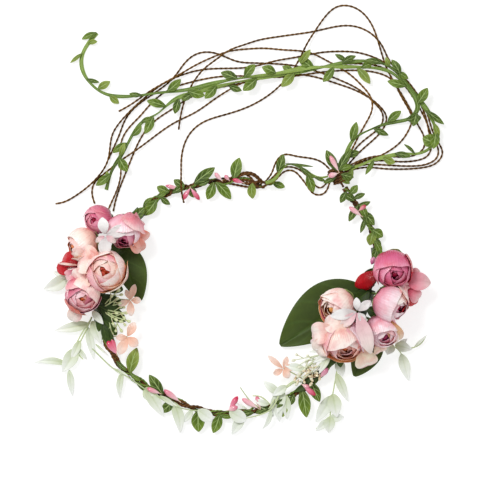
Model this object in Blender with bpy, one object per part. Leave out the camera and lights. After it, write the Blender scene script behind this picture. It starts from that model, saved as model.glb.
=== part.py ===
"""A flower crown lying on a table, with its tie cords spread out behind it.

The hoop is a steel wire inside a paper vine. Leaf trims and pips are bound along it, two
clusters of cloth roses are taped to it left and right, and paper cords and leaf ribbons tie
its two ends together at the back and trail away from the knot. The table is the plane z = 0.
"""
import math

import bmesh
import bpy
import numpy as np
from mathutils import Matrix, Vector

# ---------------------------------------------------------------- driving dimensions, metres
HOOP_WIDTH = 0.181  # hoop centreline, left to right
HOOP_DEPTH = 0.152  # hoop centreline, front to back
WIRE_RADIUS = 0.0008
VINE_RADIUS = 0.0026
TAPE_WALL = 0.0010
KNOT_RADIUS = 0.0055
KNOT_HEIGHT = 0.0110
CORD_RADIUS = 0.0007
RIBBON_RADIUS = 0.0009
STEM_RADIUS = 0.0005
LEAF_THICKNESS = 0.0005
PIP_RADIUS = 0.0011
ROSE_SIZE = 1.0  # every rose radius is its listed one times this
FLORET_THICKNESS = 0.0010
GAP = 0.0003  # between pieces that touch
CORD_GAP = 0.0006  # between cords that cross, whose tubes are faceted
ROSE_FLOOR = 0.0062  # the room for leaves under the roses
FACET = 0.0004  # how far a straight run may stray from its curve
HUMP = 0.018  # how far a cord takes to come back down to the table

# The plan below is laid out for a hoop of this size, whose vine's top is this high, in millimetres.
PLAN_WIDTH, PLAN_DEPTH, PLAN_TOP = 181.0, 152.0, 5.0
MM = 0.001
WIDE, DEEP = HOOP_WIDTH / (PLAN_WIDTH * MM), HOOP_DEPTH / (PLAN_DEPTH * MM)

VINE_SIDES = 8
ROSE_SIDES = 12
VINE_HEIGHT = VINE_RADIUS * math.cos(math.pi / VINE_SIDES)  # it rests on a flat side
LIFT = VINE_HEIGHT + VINE_RADIUS - PLAN_TOP * MM  # what stands on the vine rises with its top
TRIM_HEIGHT = VINE_HEIGHT + VINE_RADIUS + GAP + STEM_RADIUS

# ---------------------------------------------------------------- the plan, millimetres
HOOP = [
    (20, 71), (4, 73), (-14, 72), (-31, 68.5), (-48, 61), (-63, 48.5), (-75, 32), (-83, 12),
    (-86, -8), (-82, -30), (-70, -48.5), (-52, -62), (-31, -72), (-8, -78), (15, -76.5),
    (36, -68.5), (56, -54.5), (72, -35.5), (84, -14), (92, 7), (95, 26), (90, 43.5), (81, 58),
    (73.5, 68),
]
KNOT = (69, 76.5)

# Tapes: the plan point that each is centred on, and its length.
TAPES = {
    "cluster_tape_left": ((-86, -3), 30),
    "cluster_tape_right": ((85, -12), 30),
    "end_tape_left": ((-62, 49.3), 11),
    "end_tape_right": ((95, 24.5), 10),
}

# Tie cords, lowest first: each leaves the knot and ends in a bare cut end.
CORDS = {
    "tie_cord_1": [
        (75.5, 82.5), (84, 92), (93, 100), (99, 107), (101, 114), (97, 121), (88, 128), (79, 132.5),
        (69, 136), (58, 139.5), (43, 142), (28, 141), (14, 138), (0, 135), (-10, 133), (-20, 130),
        (-30, 125), (-39, 119), (-48, 113), (-55, 106), (-60, 98), (-64, 89), (-68, 79), (-72, 69),
        (-75, 60), (-76.5, 53),
    ],
    "tie_cord_2": [
        (75, 78.5), (83, 82.5), (94, 83.5), (106, 82.8), (118, 82.5), (128, 84), (134, 88.5), (134.5, 94),
        (131, 101), (127.5, 110), (122, 121), (115, 132), (107, 141), (97, 147), (84, 149), (71, 148.7),
        (58, 147), (42, 145), (26, 142), (10, 137.5), (-2, 131.5), (-12, 125), (-23, 117.5),
        (-36, 111), (-50, 101.5), (-62, 92.5), (-73, 85), (-83, 77), (-89, 71), (-90.3, 65), (-88.5, 58),
    ],
    "tie_cord_3": [
        (75.8, 80), (84, 85), (94, 88), (103, 92.5), (110, 98), (115.5, 106), (117.5, 113), (114, 122),
        (109, 131), (105, 138), (97, 142.5), (85, 144.5), (71, 144.5), (56, 143), (38, 140.5),
        (20, 140.3), (0, 141), (-12, 140), (-22, 138), (-33, 135), (-43, 130.5), (-52, 123),
        (-60, 114), (-67, 106.5), (-71, 99), (-72, 89), (-71.5, 78), (-74, 67), (-78, 58), (-80, 53.5),
    ],
    "tie_cord_4": [
        (74.5, 83.5), (82, 95), (92, 103.5), (98, 110), (98.5, 116), (94, 122.5), (86, 130), (76, 136),
        (65, 140.5), (52, 145), (40, 147.8), (27, 149), (14, 149.5), (4, 150.5), (-5, 154),
        (-14, 156.5), (-23, 155), (-30, 149.5), (-36, 141.5), (-44, 134), (-54, 127), (-63, 120),
        (-69, 112), (-72.5, 103), (-76, 95), (-79.5, 87),
    ],
    "tie_cord_5": [
        (76, 81), (86, 84.5), (98, 86), (110, 85.3), (121, 86.2), (128, 89.5), (130, 94.5), (129, 102),
        (127, 112), (123.5, 122), (117, 133), (109.5, 142), (101, 149), (92, 153.5), (82, 156.3),
        (70, 157), (58, 156.2), (44, 153.5), (28, 150.5), (14, 147), (0, 146), (-12, 145.7),
        (-22, 144.5), (-32, 141.5), (-43, 136.5), (-54, 128.5), (-64, 119.5), (-72, 111), (-77, 103),
        (-78.5, 95), (-80, 86), (-85.5, 76.5), (-93, 69), (-102, 62.5), (-109, 59), (-114, 58),
    ],
    "tie_cord_6": [
        (73.5, 83), (78, 92), (83, 102), (88, 111), (91.5, 119), (91, 126), (86, 133.5), (79, 140.5),
        (71, 146), (62, 151), (54, 155), (45, 157.2), (34, 158), (22, 159), (10, 158.5), (-1, 157),
        (-11, 153.5), (-22, 148.5), (-33, 142), (-43, 136.5), (-54, 130), (-64, 123), (-73, 118),
    ],
    "tie_cord_7": [
        (76.2, 79.3), (87, 81.5), (99, 80.8), (113, 80.5), (125, 81.5), (134, 85), (137.3, 91), (134.5, 98),
        (130.5, 106), (127.5, 116), (122.5, 126.5), (115.5, 136.5), (107.5, 145), (102, 152.5),
        (98.5, 160), (93.5, 166.5), (86, 171.5), (77, 173.7), (66, 172.7), (54, 170), (41, 168),
        (29, 166.3), (18, 164.3), (8, 161), (-1, 157.5), (-9, 152), (-17, 146), (-23, 139),
        (-27.5, 131), (-31, 122), (-33, 113), (-34, 106),
    ],
    "tie_cord_8": [
        (75.5, 82), (85, 86.5), (97, 89), (110, 88.3), (119, 89.5), (125, 94), (125.5, 101), (121.5, 109),
        (117, 118), (112, 127), (106.5, 136), (101.5, 145), (98, 155), (95, 165), (91, 175),
        (85, 182.5), (77, 186.5), (69, 186), (62, 180.5), (55.5, 171.5), (49.5, 162), (45, 153),
        (39, 143), (30, 133), (19, 125), (7, 119.3), (-7, 115), (-18, 111), (-26, 104.5),
        (-30.5, 96), (-32.3, 86), (-32.3, 76), (-32, 66), (-30.5, 58.5),
    ],
}
RIBBONS = {
    "leaf_ribbon_short": [
        (76, 80.3), (85, 83.5), (93, 86.5), (101, 88.5), (111, 90.5), (121, 90.5), (129.5, 94.5), (133, 101),
        (131.5, 110), (127.5, 118), (121, 126.5), (113, 137), (104, 146), (95, 149.8), (82, 150.5),
        (68, 148.5), (54, 145.3), (38, 142.3), (20, 139.5), (2, 136.5), (-14, 132.5), (-29, 128.5),
        (-39, 124), (-48, 116.5), (-57, 111.5), (-63, 104.5), (-67.5, 96), (-72, 88), (-77, 80),
        (-79.5, 73), (-81, 67),
    ],
    "leaf_ribbon_long": [
        (72.5, 83), (75, 91), (80, 100), (88, 105), (98, 109), (108, 111.3), (117, 114), (121, 120),
        (118.5, 128), (112, 136), (104, 143), (94, 146), (80, 146.8), (64, 146.5), (50, 146),
        (36, 143.5), (20, 141), (4, 139), (-12, 136), (-28, 132), (-44, 130.3), (-58, 128.3),
        (-72, 127.7), (-83, 130), (-91.5, 136.5), (-96.5, 145), (-97, 153), (-93.5, 161), (-87, 169),
    ],
}
# The cords that bridge the gap at the back, from the hoop's left end to the knot.
BRIDGES = {
    "bridge_cord_low": [
        (22, 69.5), (29, 73.5), (35, 79), (40, 79.5), (45, 75.5), (49.5, 69.5), (55, 64), (60, 64.5),
        (64, 71.5),
    ],
    "bridge_cord_middle": [
        (22.3, 70.8), (28, 76), (34, 81.3), (41, 81.5), (48, 77.5), (53, 71.8), (57.5, 68.3), (63.5, 73.5),
    ],
    "bridge_cord_high": [
        (22, 72), (26, 77), (29, 84.5), (34, 89.8), (42, 89), (52, 87.5), (59, 85), (64, 80.5),
    ],
    "bridge_ribbon": [
        (22.5, 71.3), (27, 73), (31.5, 78), (37, 83.5), (45, 81.5), (52, 77), (58, 75), (63, 75.8),
    ],
}

# Roses: plan x, y and height of the middle, and radius, all in millimetres.
ROSES = {
    "rose_left_mauve_bud": (-85, 46.5, 14, 8.8),
    "rose_left_pink_open": (-69, 40, 19, 9.8),
    "rose_left_cream_bud": (-94.5, 32, 17, 9.6),
    "rose_left_peach_main": (-80, 14.5, 26, 11.5),
    "rose_left_mauve_spiral": (-95.5, -1, 18, 10.3),
    "rose_left_red_bud": (-104.5, 16.5, 13, 6.6),
    "rose_right_magenta": (104.5, 15.5, 21, 11.0),
    "rose_right_pink_pointed": (117.5, 3, 13, 7.0),
    "rose_right_lilac_upper": (103, -6, 24, 10.0),
    "rose_right_cream_wide": (69, -9, 20, 10.4),
    "rose_right_peach_long": (73, -30.5, 21, 11.3),
    "rose_right_lilac_lower": (97.5, -24.5, 17, 9.6),
}
# Large leaves: base and tip on the plan, half width on the left and right hand, middle height.
LARGE_LEAVES = {
    "large_leaf_left": ((-72.8, 27.5), (-58.5, -4.5), 13.5, 7.0, 3.4),
    "large_leaf_right_inner": ((82, -1), (32, -34), 13.0, 20.0, 3.4),
    "large_leaf_right_outer": ((91, -17.5), (80, -54), 13.0, 6.5, 3.4),
}
# Florets: plan x, y, height, petal length, petals, turn in degrees, and where the stem starts.
# A blossom has no stem: it is held between the roses, on top of them.
FLORETS = {
    "blossom_left": (-79.5, 37.5, 20.0, 12.5, 4, 12, None),
    "blossom_right": (85.5, -13, 20.0, 12.0, 4, 20, None),
    "floret_left_upper": (-65, -4, 10.5, 9.5, 4, 35, (-81.2, -4.5, 5.2)),
    "floret_left_lower": (-67, -28.5, 9.0, 10.0, 4, 20, (-78.5, -28.5, 4.6)),
    "floret_right": (34, -49.5, 7.5, 9.5, 4, 28, (49, -57.4, 5.6)),
}

# Twigs: stem points (x, y, height), then leaves as (base, tip, half width). A twig is one piece.
TWIGS = {
    "sprig_left_long": (
        [(-90.3, -15.5, 3.4), (-91.8, -19, 3.8), (-94, -24, 3.5), (-97.5, -31, 3), (-101, -38, 2.5), (-108, -46, 2)],
        [
            ((-94, -22, 3.5), (-114, -24.5, 2.5), 3.6), ((-94.5, -24, 3.5), (-88.5, -41.5, 2.0), 3.0),
            ((-100, -37, 2.5), (-109.5, -49, 3.5), 4.0), ((-107.5, -45, 2), (-127.2, -45.5, 2.5), 3.0),
            ((-101, -38, 2.5), (-94, -42.5, 2.0), 1.7), ((-108, -46, 2), (-103.5, -59, 1.5), 2.2),
        ],
    ),
    "sprig_left_short": (
        [(-88.6, 8.5, 3.8), (-97.5, 9.8, 3.7), (-103, 10.5, 3.4), (-108, 11, 3.2)],
        [((-107, 11, 3.2), (-121, 3, 2.5), 3.4), ((-104, 10.6, 3.3), (-114, 15.5, 2.6), 2.4)],
    ),
    "sprig_right_hanging": (
        [(69.5, -43, 4), (68.5, -52, 3.5), (66, -66, 3), (64.5, -78, 2.5), (64, -85.5, 2)],
        [
            ((69.5, -43.5, 4), (72, -53, 3.0), 2.6), ((68, -53, 3.5), (75, -69.5, 2.5), 2.8),
            ((65.7, -67, 3), (55.5, -83, 2.0), 3.6), ((65.5, -68, 3), (68.5, -79.5, 4.5), 3.4),
            ((64.2, -81, 2.3), (72.5, -82.5, 1.8), 2.4), ((64, -85, 2), (61, -90.3, 1.5), 2.0),
        ],
    ),
    "sprig_right_outer": (
        [(86.6, -18.5, 4.5), (92, -24.5, 5.5), (97, -30, 5.5), (102, -33.4, 4.2), (107, -34, 3.0), (109.5, -38, 2.7), (113, -43, 2.4)],
        [
            ((105, -33.7, 3.1), (103.5, -41.5, 2.4), 2.6), ((107, -34, 3), (116.5, -34, 3.0), 3.0),
            ((110.5, -39.5, 2.7), (115.3, -56.3, 2.0), 3.2), ((109, -37, 2.8), (127, -27.5, 3.2), 1.1),
        ],
    ),
    "sprig_front_right": (
        [(45.8, -57.6, 3.6), (42, -57.6, 4.3), (38, -60, 4.3), (33.5, -63, 4.0), (30.5, -66, 3.6), (27.5, -70, 7.6)],
        [
            ((31, -65, 3.7), (21.5, -56.5, 3.0), 2.6), ((28.5, -68.7, 6.6), (28, -80.5, 3.0), 3.2),
        ],
    ),
    "spray_left": (
        [(-81.6, -12.6, 4.7), (-79.5, -13.6, 6.4), (-77, -15, 7.5), (-72, -17.5, 8.0), (-68.5, -18, 7.5)],
        [
            ((-80, -13.3, 6.8), (-71.5, -10.5, 6.5), 1.0), ((-77, -15, 7.5), (-74.5, -23.5, 6.0), 1.1),
            ((-75, -16, 7.7), (-69.5, -22.5, 5.5), 1.0), ((-72.5, -17.3, 8), (-67, -14.5, 7.5), 1.5),
        ],
    ),
    "spray_right": (
        [(62.2, -43, 4.7), (60.3, -42.6, 5.8), (57, -43, 6.4), (51, -46, 6.8), (47.5, -49, 6.6), (46.5, -51.8, 6.2)],
        [
            ((57, -43, 6.4), (40, -42.5, 5.0), 1.1), ((53, -45, 6.7), (45, -43.8, 9.0), 1.3),
            ((49, -48, 6.6), (53.5, -54, 9.2), 1.8), ((50, -47, 6.7), (45.5, -54.3, 9.5), 1.3),
        ],
    ),
}
# Leaf trims: bound on top of the vine. Start and end on the plan, then leaves as (base, tip, half width).
TRIMS = {
    "leaf_trim_back": (
        (15, 71.8), (-52, 58.5),
        [
            ((14, 72), (14, 61.5), 2.6), ((2, 73), (5, 87), 3.2), ((-10, 72), (0, 61.5), 2.8),
            ((-11, 72), (-14.5, 61), 2.8), ((-22, 71), (-11.5, 81), 3.0), ((-40, 65), (-47, 68), 2.4),
            ((-46, 62.3), (-39.5, 58.5), 1.6), ((-49.5, 60.3), (-54.5, 50.5), 3.0),
        ],
    ),
    "leaf_trim_front": (
        (-80, -34.5), (19, -75.5),
        [
            ((-65, -53), (-61.5, -36.5), 3.6), ((-44, -66), (-52, -53.5), 2.8),
            ((-38, -69), (-43.5, -78), 2.4), ((-55, -60), (-44.5, -78.5), 3.4),
            ((-37, -69.5), (-33, -88.5), 2.6), ((-70, -48.5), (-71.5, -67), 1.8),
            ((-21, -75.5), (-19, -89), 3.4), ((-19, -76), (-10.5, -84.5), 3.2),
            ((-7, -78), (-10.5, -90.5), 2.4), ((-6, -78), (4, -86), 3.4), ((15, -76.5), (5.5, -83.5), 2.4),
        ],
    ),
    "leaf_trim_front_right": (
        (34, -69.5), (57, -53.5),
        [
            ((46, -62), (48.5, -79.5), 3.4), ((52, -57.5), (55.5, -70.5), 2.8),
            ((37, -68), (34, -79.5), 2.4),
        ],
    ),
    "leaf_trim_right": (
        (94, 34), (75.5, 65.5),
        [
            ((92, 38.5), (89.5, 31.5), 2.8), ((91.5, 40), (98, 37), 2.8), ((87, 49), (83, 39.5), 1.5),
            ((82.5, 56), (76.5, 47), 2.2), ((82, 56.5), (89, 59), 1.6), ((86, 51), (94, 44.5), 2.6),
        ],
    ),
    "leaf_trim_knot": (
        (69, 79), (68.2, 74),
        [((68.8, 78.5), (62.3, 92), 2.8), ((68.5, 75.5), (77, 92.5), 2.4)],
    ),
}
# Pips: pairs of little buds on one thread, each as (foot on the vine, top of the bud).
PIPS = {
    "pips_back_left": [((-29, 69), (-31, 61.5)), ((-28, 69.3), (-21.5, 61.5))],
    "pips_back_middle": [((-3, 73.2), (-7.5, 79.5)), ((-2, 73.2), (-1, 80.3))],
    "pips_left": [((-79.5, -35), (-73, -32.5)), ((-79, -36), (-72, -38))],
    "pips_front_left": [((-40.5, -68), (-35, -62)), ((-41, -67.8), (-40.5, -59.5))],
    "pips_front_middle": [((-3, -78.6), (3, -69.5)), ((-2, -78.6), (10, -71.5))],
    "pips_front_right": [((55.5, -55), (61.5, -50)), ((54.7, -55.6), (51.5, -64.5))],
    "pips_right": [((85.2, 52), (78, 52.5)), ((85.8, 51.2), (90.5, 56.5))],
}

COLOURS = {  # linear red, green, blue, then roughness and metallic
    "wire": ((0.35, 0.34, 0.32), 0.4, 1.0),
    "vine": ((0.13, 0.06, 0.025), 0.8, 0.0),
    "tape": ((0.06, 0.11, 0.05), 0.7, 0.0),
    "trim": ((0.13, 0.24, 0.06), 0.7, 0.0),
    "pip": ((0.80, 0.25, 0.33), 0.4, 0.0),
    "large_leaf": ((0.04, 0.10, 0.02), 0.5, 0.0),
    "sprig": ((0.66, 0.74, 0.55), 0.5, 0.0),
    "floret": ((0.90, 0.60, 0.46), 0.7, 0.0),
    "blossom": ((0.87, 0.82, 0.80), 0.7, 0.0),
    "rose": ((0.83, 0.48, 0.48), 0.7, 0.0),
}


# ---------------------------------------------------------------- curves
def plan(point):
    """A plan point, in millimetres, as metres on the real hoop. A third number is a height."""
    placed = [point[0] * MM * WIDE, point[1] * MM * DEEP]
    return np.array(placed + [point[2] * MM + LIFT] if len(point) == 3 else placed)


def off_the_hoop(line, hoop):
    """A stem's line, pushed straight away from the hoop wherever it would touch the vine or a tape."""
    clear = []
    for p in line:
        near = nearest(hoop, p)
        need = VINE_RADIUS + GAP + STEM_RADIUS
        for middle, length in TAPES.values():
            if np.linalg.norm(hoop[near][:2] - plan(middle)) < length * MM / 2 + 2 * GAP:
                need = VINE_RADIUS + GAP + TAPE_WALL + GAP + STEM_RADIUS
        apart = p - hoop[near]
        reach = np.linalg.norm(apart)
        clear.append(hoop[near] + apart / reach * max(reach, need))
    return np.array(clear)


def smooth(points, step=0.001):
    """Evenly spaced points along the natural cubic spline through the given points."""
    p = np.asarray(points, float)
    along = np.concatenate([[0], np.cumsum(np.linalg.norm(np.diff(p, axis=0), axis=1))])
    gap = np.diff(along)[:, None]
    slope = np.diff(p, axis=0) / gap
    count = len(p)
    system, known = np.eye(count), np.zeros_like(p)
    for i in range(1, count - 1):
        system[i, i - 1 : i + 2] = gap[i - 1, 0], 2 * (gap[i - 1, 0] + gap[i, 0]), gap[i, 0]
        known[i] = 6 * (slope[i] - slope[i - 1])
    bend = np.linalg.solve(system, known)
    at = np.linspace(0, along[-1], 40 * count)
    i = np.clip(np.searchsorted(along, at, side="right") - 1, 0, count - 2)
    near, far = (at - along[i])[:, None], (along[i + 1] - at)[:, None]
    h = gap[i]
    fine = (bend[i] * far**3 + bend[i + 1] * near**3) / (6 * h)
    fine += (p[i] / h - bend[i] * h / 6) * far + (p[i + 1] / h - bend[i + 1] * h / 6) * near
    return respaced(fine, step)


def respaced(line, step):
    """The same line with points at an even step."""
    along = np.concatenate([[0], np.cumsum(np.linalg.norm(np.diff(line, axis=0), axis=1))])
    at = np.linspace(0, along[-1], max(2, round(along[-1] / step) + 1))
    return np.stack([np.interp(at, along, line[:, k]) for k in range(line.shape[1])], axis=1)


def needed(line, tolerance, also=()):
    """The points that a polyline needs to stay within the tolerance of the line, and those of also."""
    return line[needed_at(line, tolerance, also)]


def needed_at(line, tolerance, also=()):
    """The places in the line of the points that needed() keeps."""
    ends = sorted({0, len(line) - 1, *also})
    keep, runs = set(ends), list(zip(ends, ends[1:]))
    while runs:
        a, b = runs.pop()
        if b - a < 2:
            continue
        chord, rest = line[b] - line[a], line[a + 1 : b] - line[a]
        share = np.clip(rest @ chord / (chord @ chord), 0, 1)[:, None]
        away = np.linalg.norm(rest - share * chord, axis=1)
        worst = int(away.argmax())
        if away[worst] > tolerance:
            keep.add(a + 1 + worst)
            runs += [(a, a + 1 + worst), (a + 1 + worst, b)]
    return sorted(keep)


def nearest(line, point):
    """The place in the line of its nearest point, seen from above or in space as the point is."""
    return int(np.linalg.norm(line[:, : len(point)] - point, axis=1).argmin())


def between(line, start, end):
    """The stretch of a line from nearest one point to nearest another."""
    a, b = sorted((nearest(line, start), nearest(line, end)))
    return line[a : b + 1]


def settle(lines, radii, obstacle, obstacle_height):
    """Heights that lay cords on the table and over each other, the first lowest.

    A cord over another rides at the height that just clears it, and comes down again along a
    raised cosine of length HUMP on both sides. The hoop is an obstacle like the others.
    """
    placed, heights = [(obstacle, np.full(len(obstacle), obstacle_height), VINE_RADIUS)], []
    for line, radius in zip(lines, radii):
        least = np.full(len(line), radius)
        for other, height, other_radius in placed:
            apart = np.linalg.norm(line[:, None] - other[None], axis=2)
            clear = radius + other_radius + CORD_GAP
            rise = np.sqrt(np.maximum(clear**2 - apart**2, 0))
            least = np.maximum(least, np.where(apart < clear, height[None] + rise, 0).max(axis=1))
        step = np.linalg.norm(line[1] - line[0])
        away = np.abs(np.subtract.outer(np.arange(len(line)), np.arange(len(line)))) * step
        bell = np.cos(np.clip(away / HUMP, 0, 1) * math.pi / 2) ** 2
        envelope = radius + ((least - radius)[None] * bell).max(axis=1)
        soft = np.exp(-((away / 0.003) ** 2))
        height = (soft @ envelope) / soft.sum(axis=1)
        short = np.maximum(least - height, 0)
        height = height + (short[None] * np.cos(np.clip(away / 0.006, 0, 1) * math.pi / 2) ** 2).max(axis=1)
        placed.append((line, height, radius))
        heights.append(height)
    return heights


# ---------------------------------------------------------------- solids
def material(slot):
    """The slot's own Principled material, made once."""
    found = bpy.data.materials.get(slot)
    if found:
        return found
    colour, roughness, metallic = COLOURS[slot]
    made = bpy.data.materials.new(slot)
    made.use_nodes = True
    shader = made.node_tree.nodes["Principled BSDF"]
    shader.inputs["Base Color"].default_value = (*colour, 1)
    shader.inputs["Roughness"].default_value = roughness
    shader.inputs["Metallic"].default_value = metallic
    return made


def place(name, data, slot):
    """An object in the scene with its material."""
    obj = bpy.data.objects.new(name, data)
    bpy.context.scene.collection.objects.link(obj)
    data.materials.append(material(slot))
    return obj


def skin(name, loops, slot, closed=False):
    """A solid skinned over rings of points; closed joins the last ring to the first."""
    bm = bmesh.new()
    rings = [[bm.verts.new(p) for p in ring] for ring in loops]
    pairs = list(zip(rings, rings[1:] + rings[:1])) if closed else list(zip(rings, rings[1:]))
    for a, b in pairs:
        for i in range(len(a)):
            j = (i + 1) % len(a)
            bm.faces.new((a[i], a[j], b[j], b[i]))
    if not closed:
        bm.faces.new(rings[0][::-1])
        bm.faces.new(rings[-1])
    bmesh.ops.recalc_face_normals(bm, faces=bm.faces)
    mesh = bpy.data.meshes.new(name)
    bm.to_mesh(mesh)
    bm.free()
    mesh.shade_smooth()
    mesh.set_sharp_from_angle(angle=math.radians(50))
    return place(name, mesh, slot)


def rings_along(line, radii, sides, flat_down=False):
    """Rings of points round a line, one at each of its points; flat_down turns a side to the table."""
    line = np.asarray(line, float)
    ahead = np.gradient(line, axis=0)
    ahead /= np.linalg.norm(ahead, axis=1)[:, None]
    side = np.cross(ahead, (0, 0, 1))
    side /= np.maximum(np.linalg.norm(side, axis=1), 1e-9)[:, None]
    up = np.cross(side, ahead)
    turn = (np.arange(sides) + (0.5 if flat_down else 0)) * 2 * math.pi / sides - math.pi / 2
    radii = np.broadcast_to(radii, len(line))[:, None, None]
    spoke = np.cos(turn)[None, :, None] * side[:, None] + np.sin(turn)[None, :, None] * up[:, None]
    return line[:, None] + radii * spoke


def cord(name, line, radius, slot):
    """A cord as a round-bevelled curve with filled ends."""
    curve = bpy.data.curves.new(name, "CURVE")
    curve.dimensions = "3D"
    curve.bevel_depth = radius
    curve.bevel_resolution = 2
    curve.use_fill_caps = True
    spline = curve.splines.new("POLY")
    spline.points.add(len(line) - 1)
    for point, p in zip(spline.points, line):
        point.co = (*p, 1)
    return place(name, curve, slot)


def leaf_loops(base, tip, left, right, thickness, arch, stations=6):
    """Rings across a leaf: half width w(t) = width * sin(pi t) ** 0.75, arched by a parabola.

    It starts a little behind its base, inside the stem that carries it.
    """
    base, tip = np.asarray(base, float), np.asarray(tip, float)
    ahead = tip - base
    side = np.cross((0, 0, 1), ahead)
    side /= np.linalg.norm(side)
    loops = []
    behind = -0.4 * STEM_RADIUS / np.linalg.norm(ahead)
    for t in (behind, *np.linspace(0.14, 0.97, stations - 1)):
        middle = base + ahead * t + np.array((0, 0, arch * 4 * t * (1 - t)))
        width = max(0.1, math.sin(math.pi * t)) ** 0.75
        half = np.array((0, 0, thickness / 2))
        loops.append(
            [middle + side * left * width, middle + half, middle - side * right * width, middle - half]
        )
    return np.array(loops)


def bud_loops(foot, top, radius, sides=6):
    """Rings of an egg-shaped bud: radius r(t) = radius * sin(pi t) ** 0.6."""
    line = np.array([np.add(foot, np.subtract(top, foot) * t) for t in (0.04, 0.3, 0.6, 0.85, 0.97)])
    shares = [math.sin(math.pi * t) ** 0.6 for t in (0.04, 0.3, 0.6, 0.85, 0.97)]
    return rings_along(line, radius * np.array(shares), sides)


def joined(name, shapes, slot):
    """One solid from several that overlap: a Boolean union of the first with the others."""
    main = skin(name, shapes[0], slot)
    if len(shapes) == 1:
        return main
    helpers = bpy.data.collections.new(name + "_pieces")
    bpy.context.scene.collection.children.link(helpers)
    for i, loops in enumerate(shapes[1:]):
        helper = skin(f"{name}_piece_{i}", loops, slot)
        bpy.context.scene.collection.objects.unlink(helper)
        helpers.objects.link(helper)
        helper.hide_render = True
        helper.display_type = "WIRE"
    union = main.modifiers.new("Union", "BOOLEAN")
    union.operation = "UNION"
    union.operand_type = "COLLECTION"
    union.collection = helpers
    union.solver = "EXACT"
    return main


# ---------------------------------------------------------------- the hoop
def hoop_line():
    """The hoop's centreline, resting on the table, in straight runs as the vine will have."""
    flat = smooth([plan(p) for p in HOOP])
    flat = respaced(needed(flat, FACET), 0.001)
    return np.column_stack([flat, np.full(len(flat), VINE_HEIGHT)])


def make_hoop(line):
    """The wire, the vine round it and the tapes over the vine, all on the same rings."""
    step = np.linalg.norm(line[1] - line[0])
    ends = {}
    for name, (middle, length) in TAPES.items():
        at, half = nearest(line, plan(middle)), round(length * MM / 2 / step)
        ends[name] = at - half, at + half
    places = needed_at(line, FACET / 3, [i for pair in ends.values() for i in pair])
    spokes = rings_along(line[places], 1.0, VINE_SIDES, flat_down=True) - line[places][:, None]

    def rings(radius, start=0, end=len(line)):
        here = [k for k, i in enumerate(places) if start <= i <= end]
        return line[places][here][:, None] + radius * spokes[here]

    skin("hoop_wire", rings(WIRE_RADIUS), "wire")
    hole = WIRE_RADIUS + GAP
    skin("vine_wrap", np.concatenate([rings(VINE_RADIUS), rings(hole)[::-1]]), "vine", closed=True)
    over = VINE_RADIUS + GAP / math.cos(math.pi / VINE_SIDES)
    arc = slice(1, VINE_SIDES - 1)
    for name, (start, end) in ends.items():
        inside, outside = rings(over, start, end), rings(over + TAPE_WALL, start, end)
        skin(name, np.concatenate([outside[:, arc], inside[:, arc][:, ::-1]], axis=1), "tape")


def make_knot():
    """A turned barrel where the cords are tied."""
    x, y = plan(KNOT)
    heights = np.array((0, 0.12, 0.5, 0.88, 1.0)) * KNOT_HEIGHT
    shares = (0.86, 1.0, 1.0, 1.0, 0.80)
    turns = np.arange(12) * math.pi / 6
    loops = [
        [(x + KNOT_RADIUS * s * math.cos(a), y + KNOT_RADIUS * s * math.sin(a), z) for a in turns]
        for z, s in zip(heights, shares)
    ]
    skin("closure_knot", np.array(loops), "vine")


def make_trims(line):
    """Leaf trims: a thread on top of the vine, with leaves reaching out and down from it."""
    for name, (start, end, leaves) in TRIMS.items():
        if name == "leaf_trim_knot":
            lift = KNOT_HEIGHT + GAP + STEM_RADIUS
            thread = np.array([(*plan(start), lift), (*plan(np.add(start, end) / 2), lift), (*plan(end), lift)])
        else:
            thread = between(line, plan(start), plan(end)) + (0, 0, TRIM_HEIGHT - VINE_HEIGHT)
            thread = needed(thread, FACET / 2)
            lift = TRIM_HEIGHT
        shapes = [rings_along(thread, STEM_RADIUS, 6)]
        for base, tip, half in leaves:
            fine = respaced(thread, 0.0005)
            root = fine[nearest(fine, plan(base))]
            end_point = np.array((*plan(tip), lift - 0.6 * VINE_RADIUS))
            shapes.append(leaf_loops(root, end_point, half * MM, half * MM, LEAF_THICKNESS, 0.0011))
        joined(name, shapes, "trim")


def make_pips():
    """Pips: two buds whose feet meet on a short thread over the vine."""
    lift = TRIM_HEIGHT + STEM_RADIUS + LEAF_THICKNESS / 2 + GAP + PIP_RADIUS
    for name, pair in PIPS.items():
        feet = [np.array((*plan(foot), lift)) for foot, _ in pair]
        along = (feet[1] - feet[0]) / np.linalg.norm(feet[1] - feet[0])
        thread = np.array([feet[0] - along * PIP_RADIUS, feet[1] + along * PIP_RADIUS])
        shapes = [rings_along(thread, STEM_RADIUS, 6)]
        for foot, (_, top) in zip(feet, pair):
            head = np.array((*plan(top), lift))
            shapes.append(bud_loops(foot - (head - foot) * 0.08, head, PIP_RADIUS))
        joined(name, shapes, "pip")


# ---------------------------------------------------------------- the clusters
def nestle(line):
    """Where the roses sit: each pair of balls, and each ball and the hoop, pushed just apart."""
    names = list(ROSES)
    centre = np.array([plan(ROSES[n][:3]) for n in names])
    radius = np.array([ROSES[n][3] * MM * ROSE_SIZE for n in names])
    hoop_clear = VINE_RADIUS + GAP + TAPE_WALL + GAP
    for _ in range(400):
        for i in range(len(names)):
            for j in range(i + 1, len(names)):
                apart = centre[i] - centre[j]
                short = radius[i] + radius[j] + 2 * GAP - np.linalg.norm(apart)
                if short > 0:
                    push = apart / np.linalg.norm(apart) * (0.6, 0.6, 1.0)
                    centre[i] += push * short * 0.5
                    centre[j] -= push * short * 0.5
            near = line[nearest(line, centre[i])]
            apart = centre[i] - near
            short = radius[i] + hoop_clear + GAP - np.linalg.norm(apart)
            if short > 0:
                centre[i] += apart / np.linalg.norm(apart) * short
            centre[i][2] = max(centre[i][2], radius[i] + ROSE_FLOOR + LIFT)
    return {n: (c, r) for n, c, r in zip(names, centre, radius)}


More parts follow.
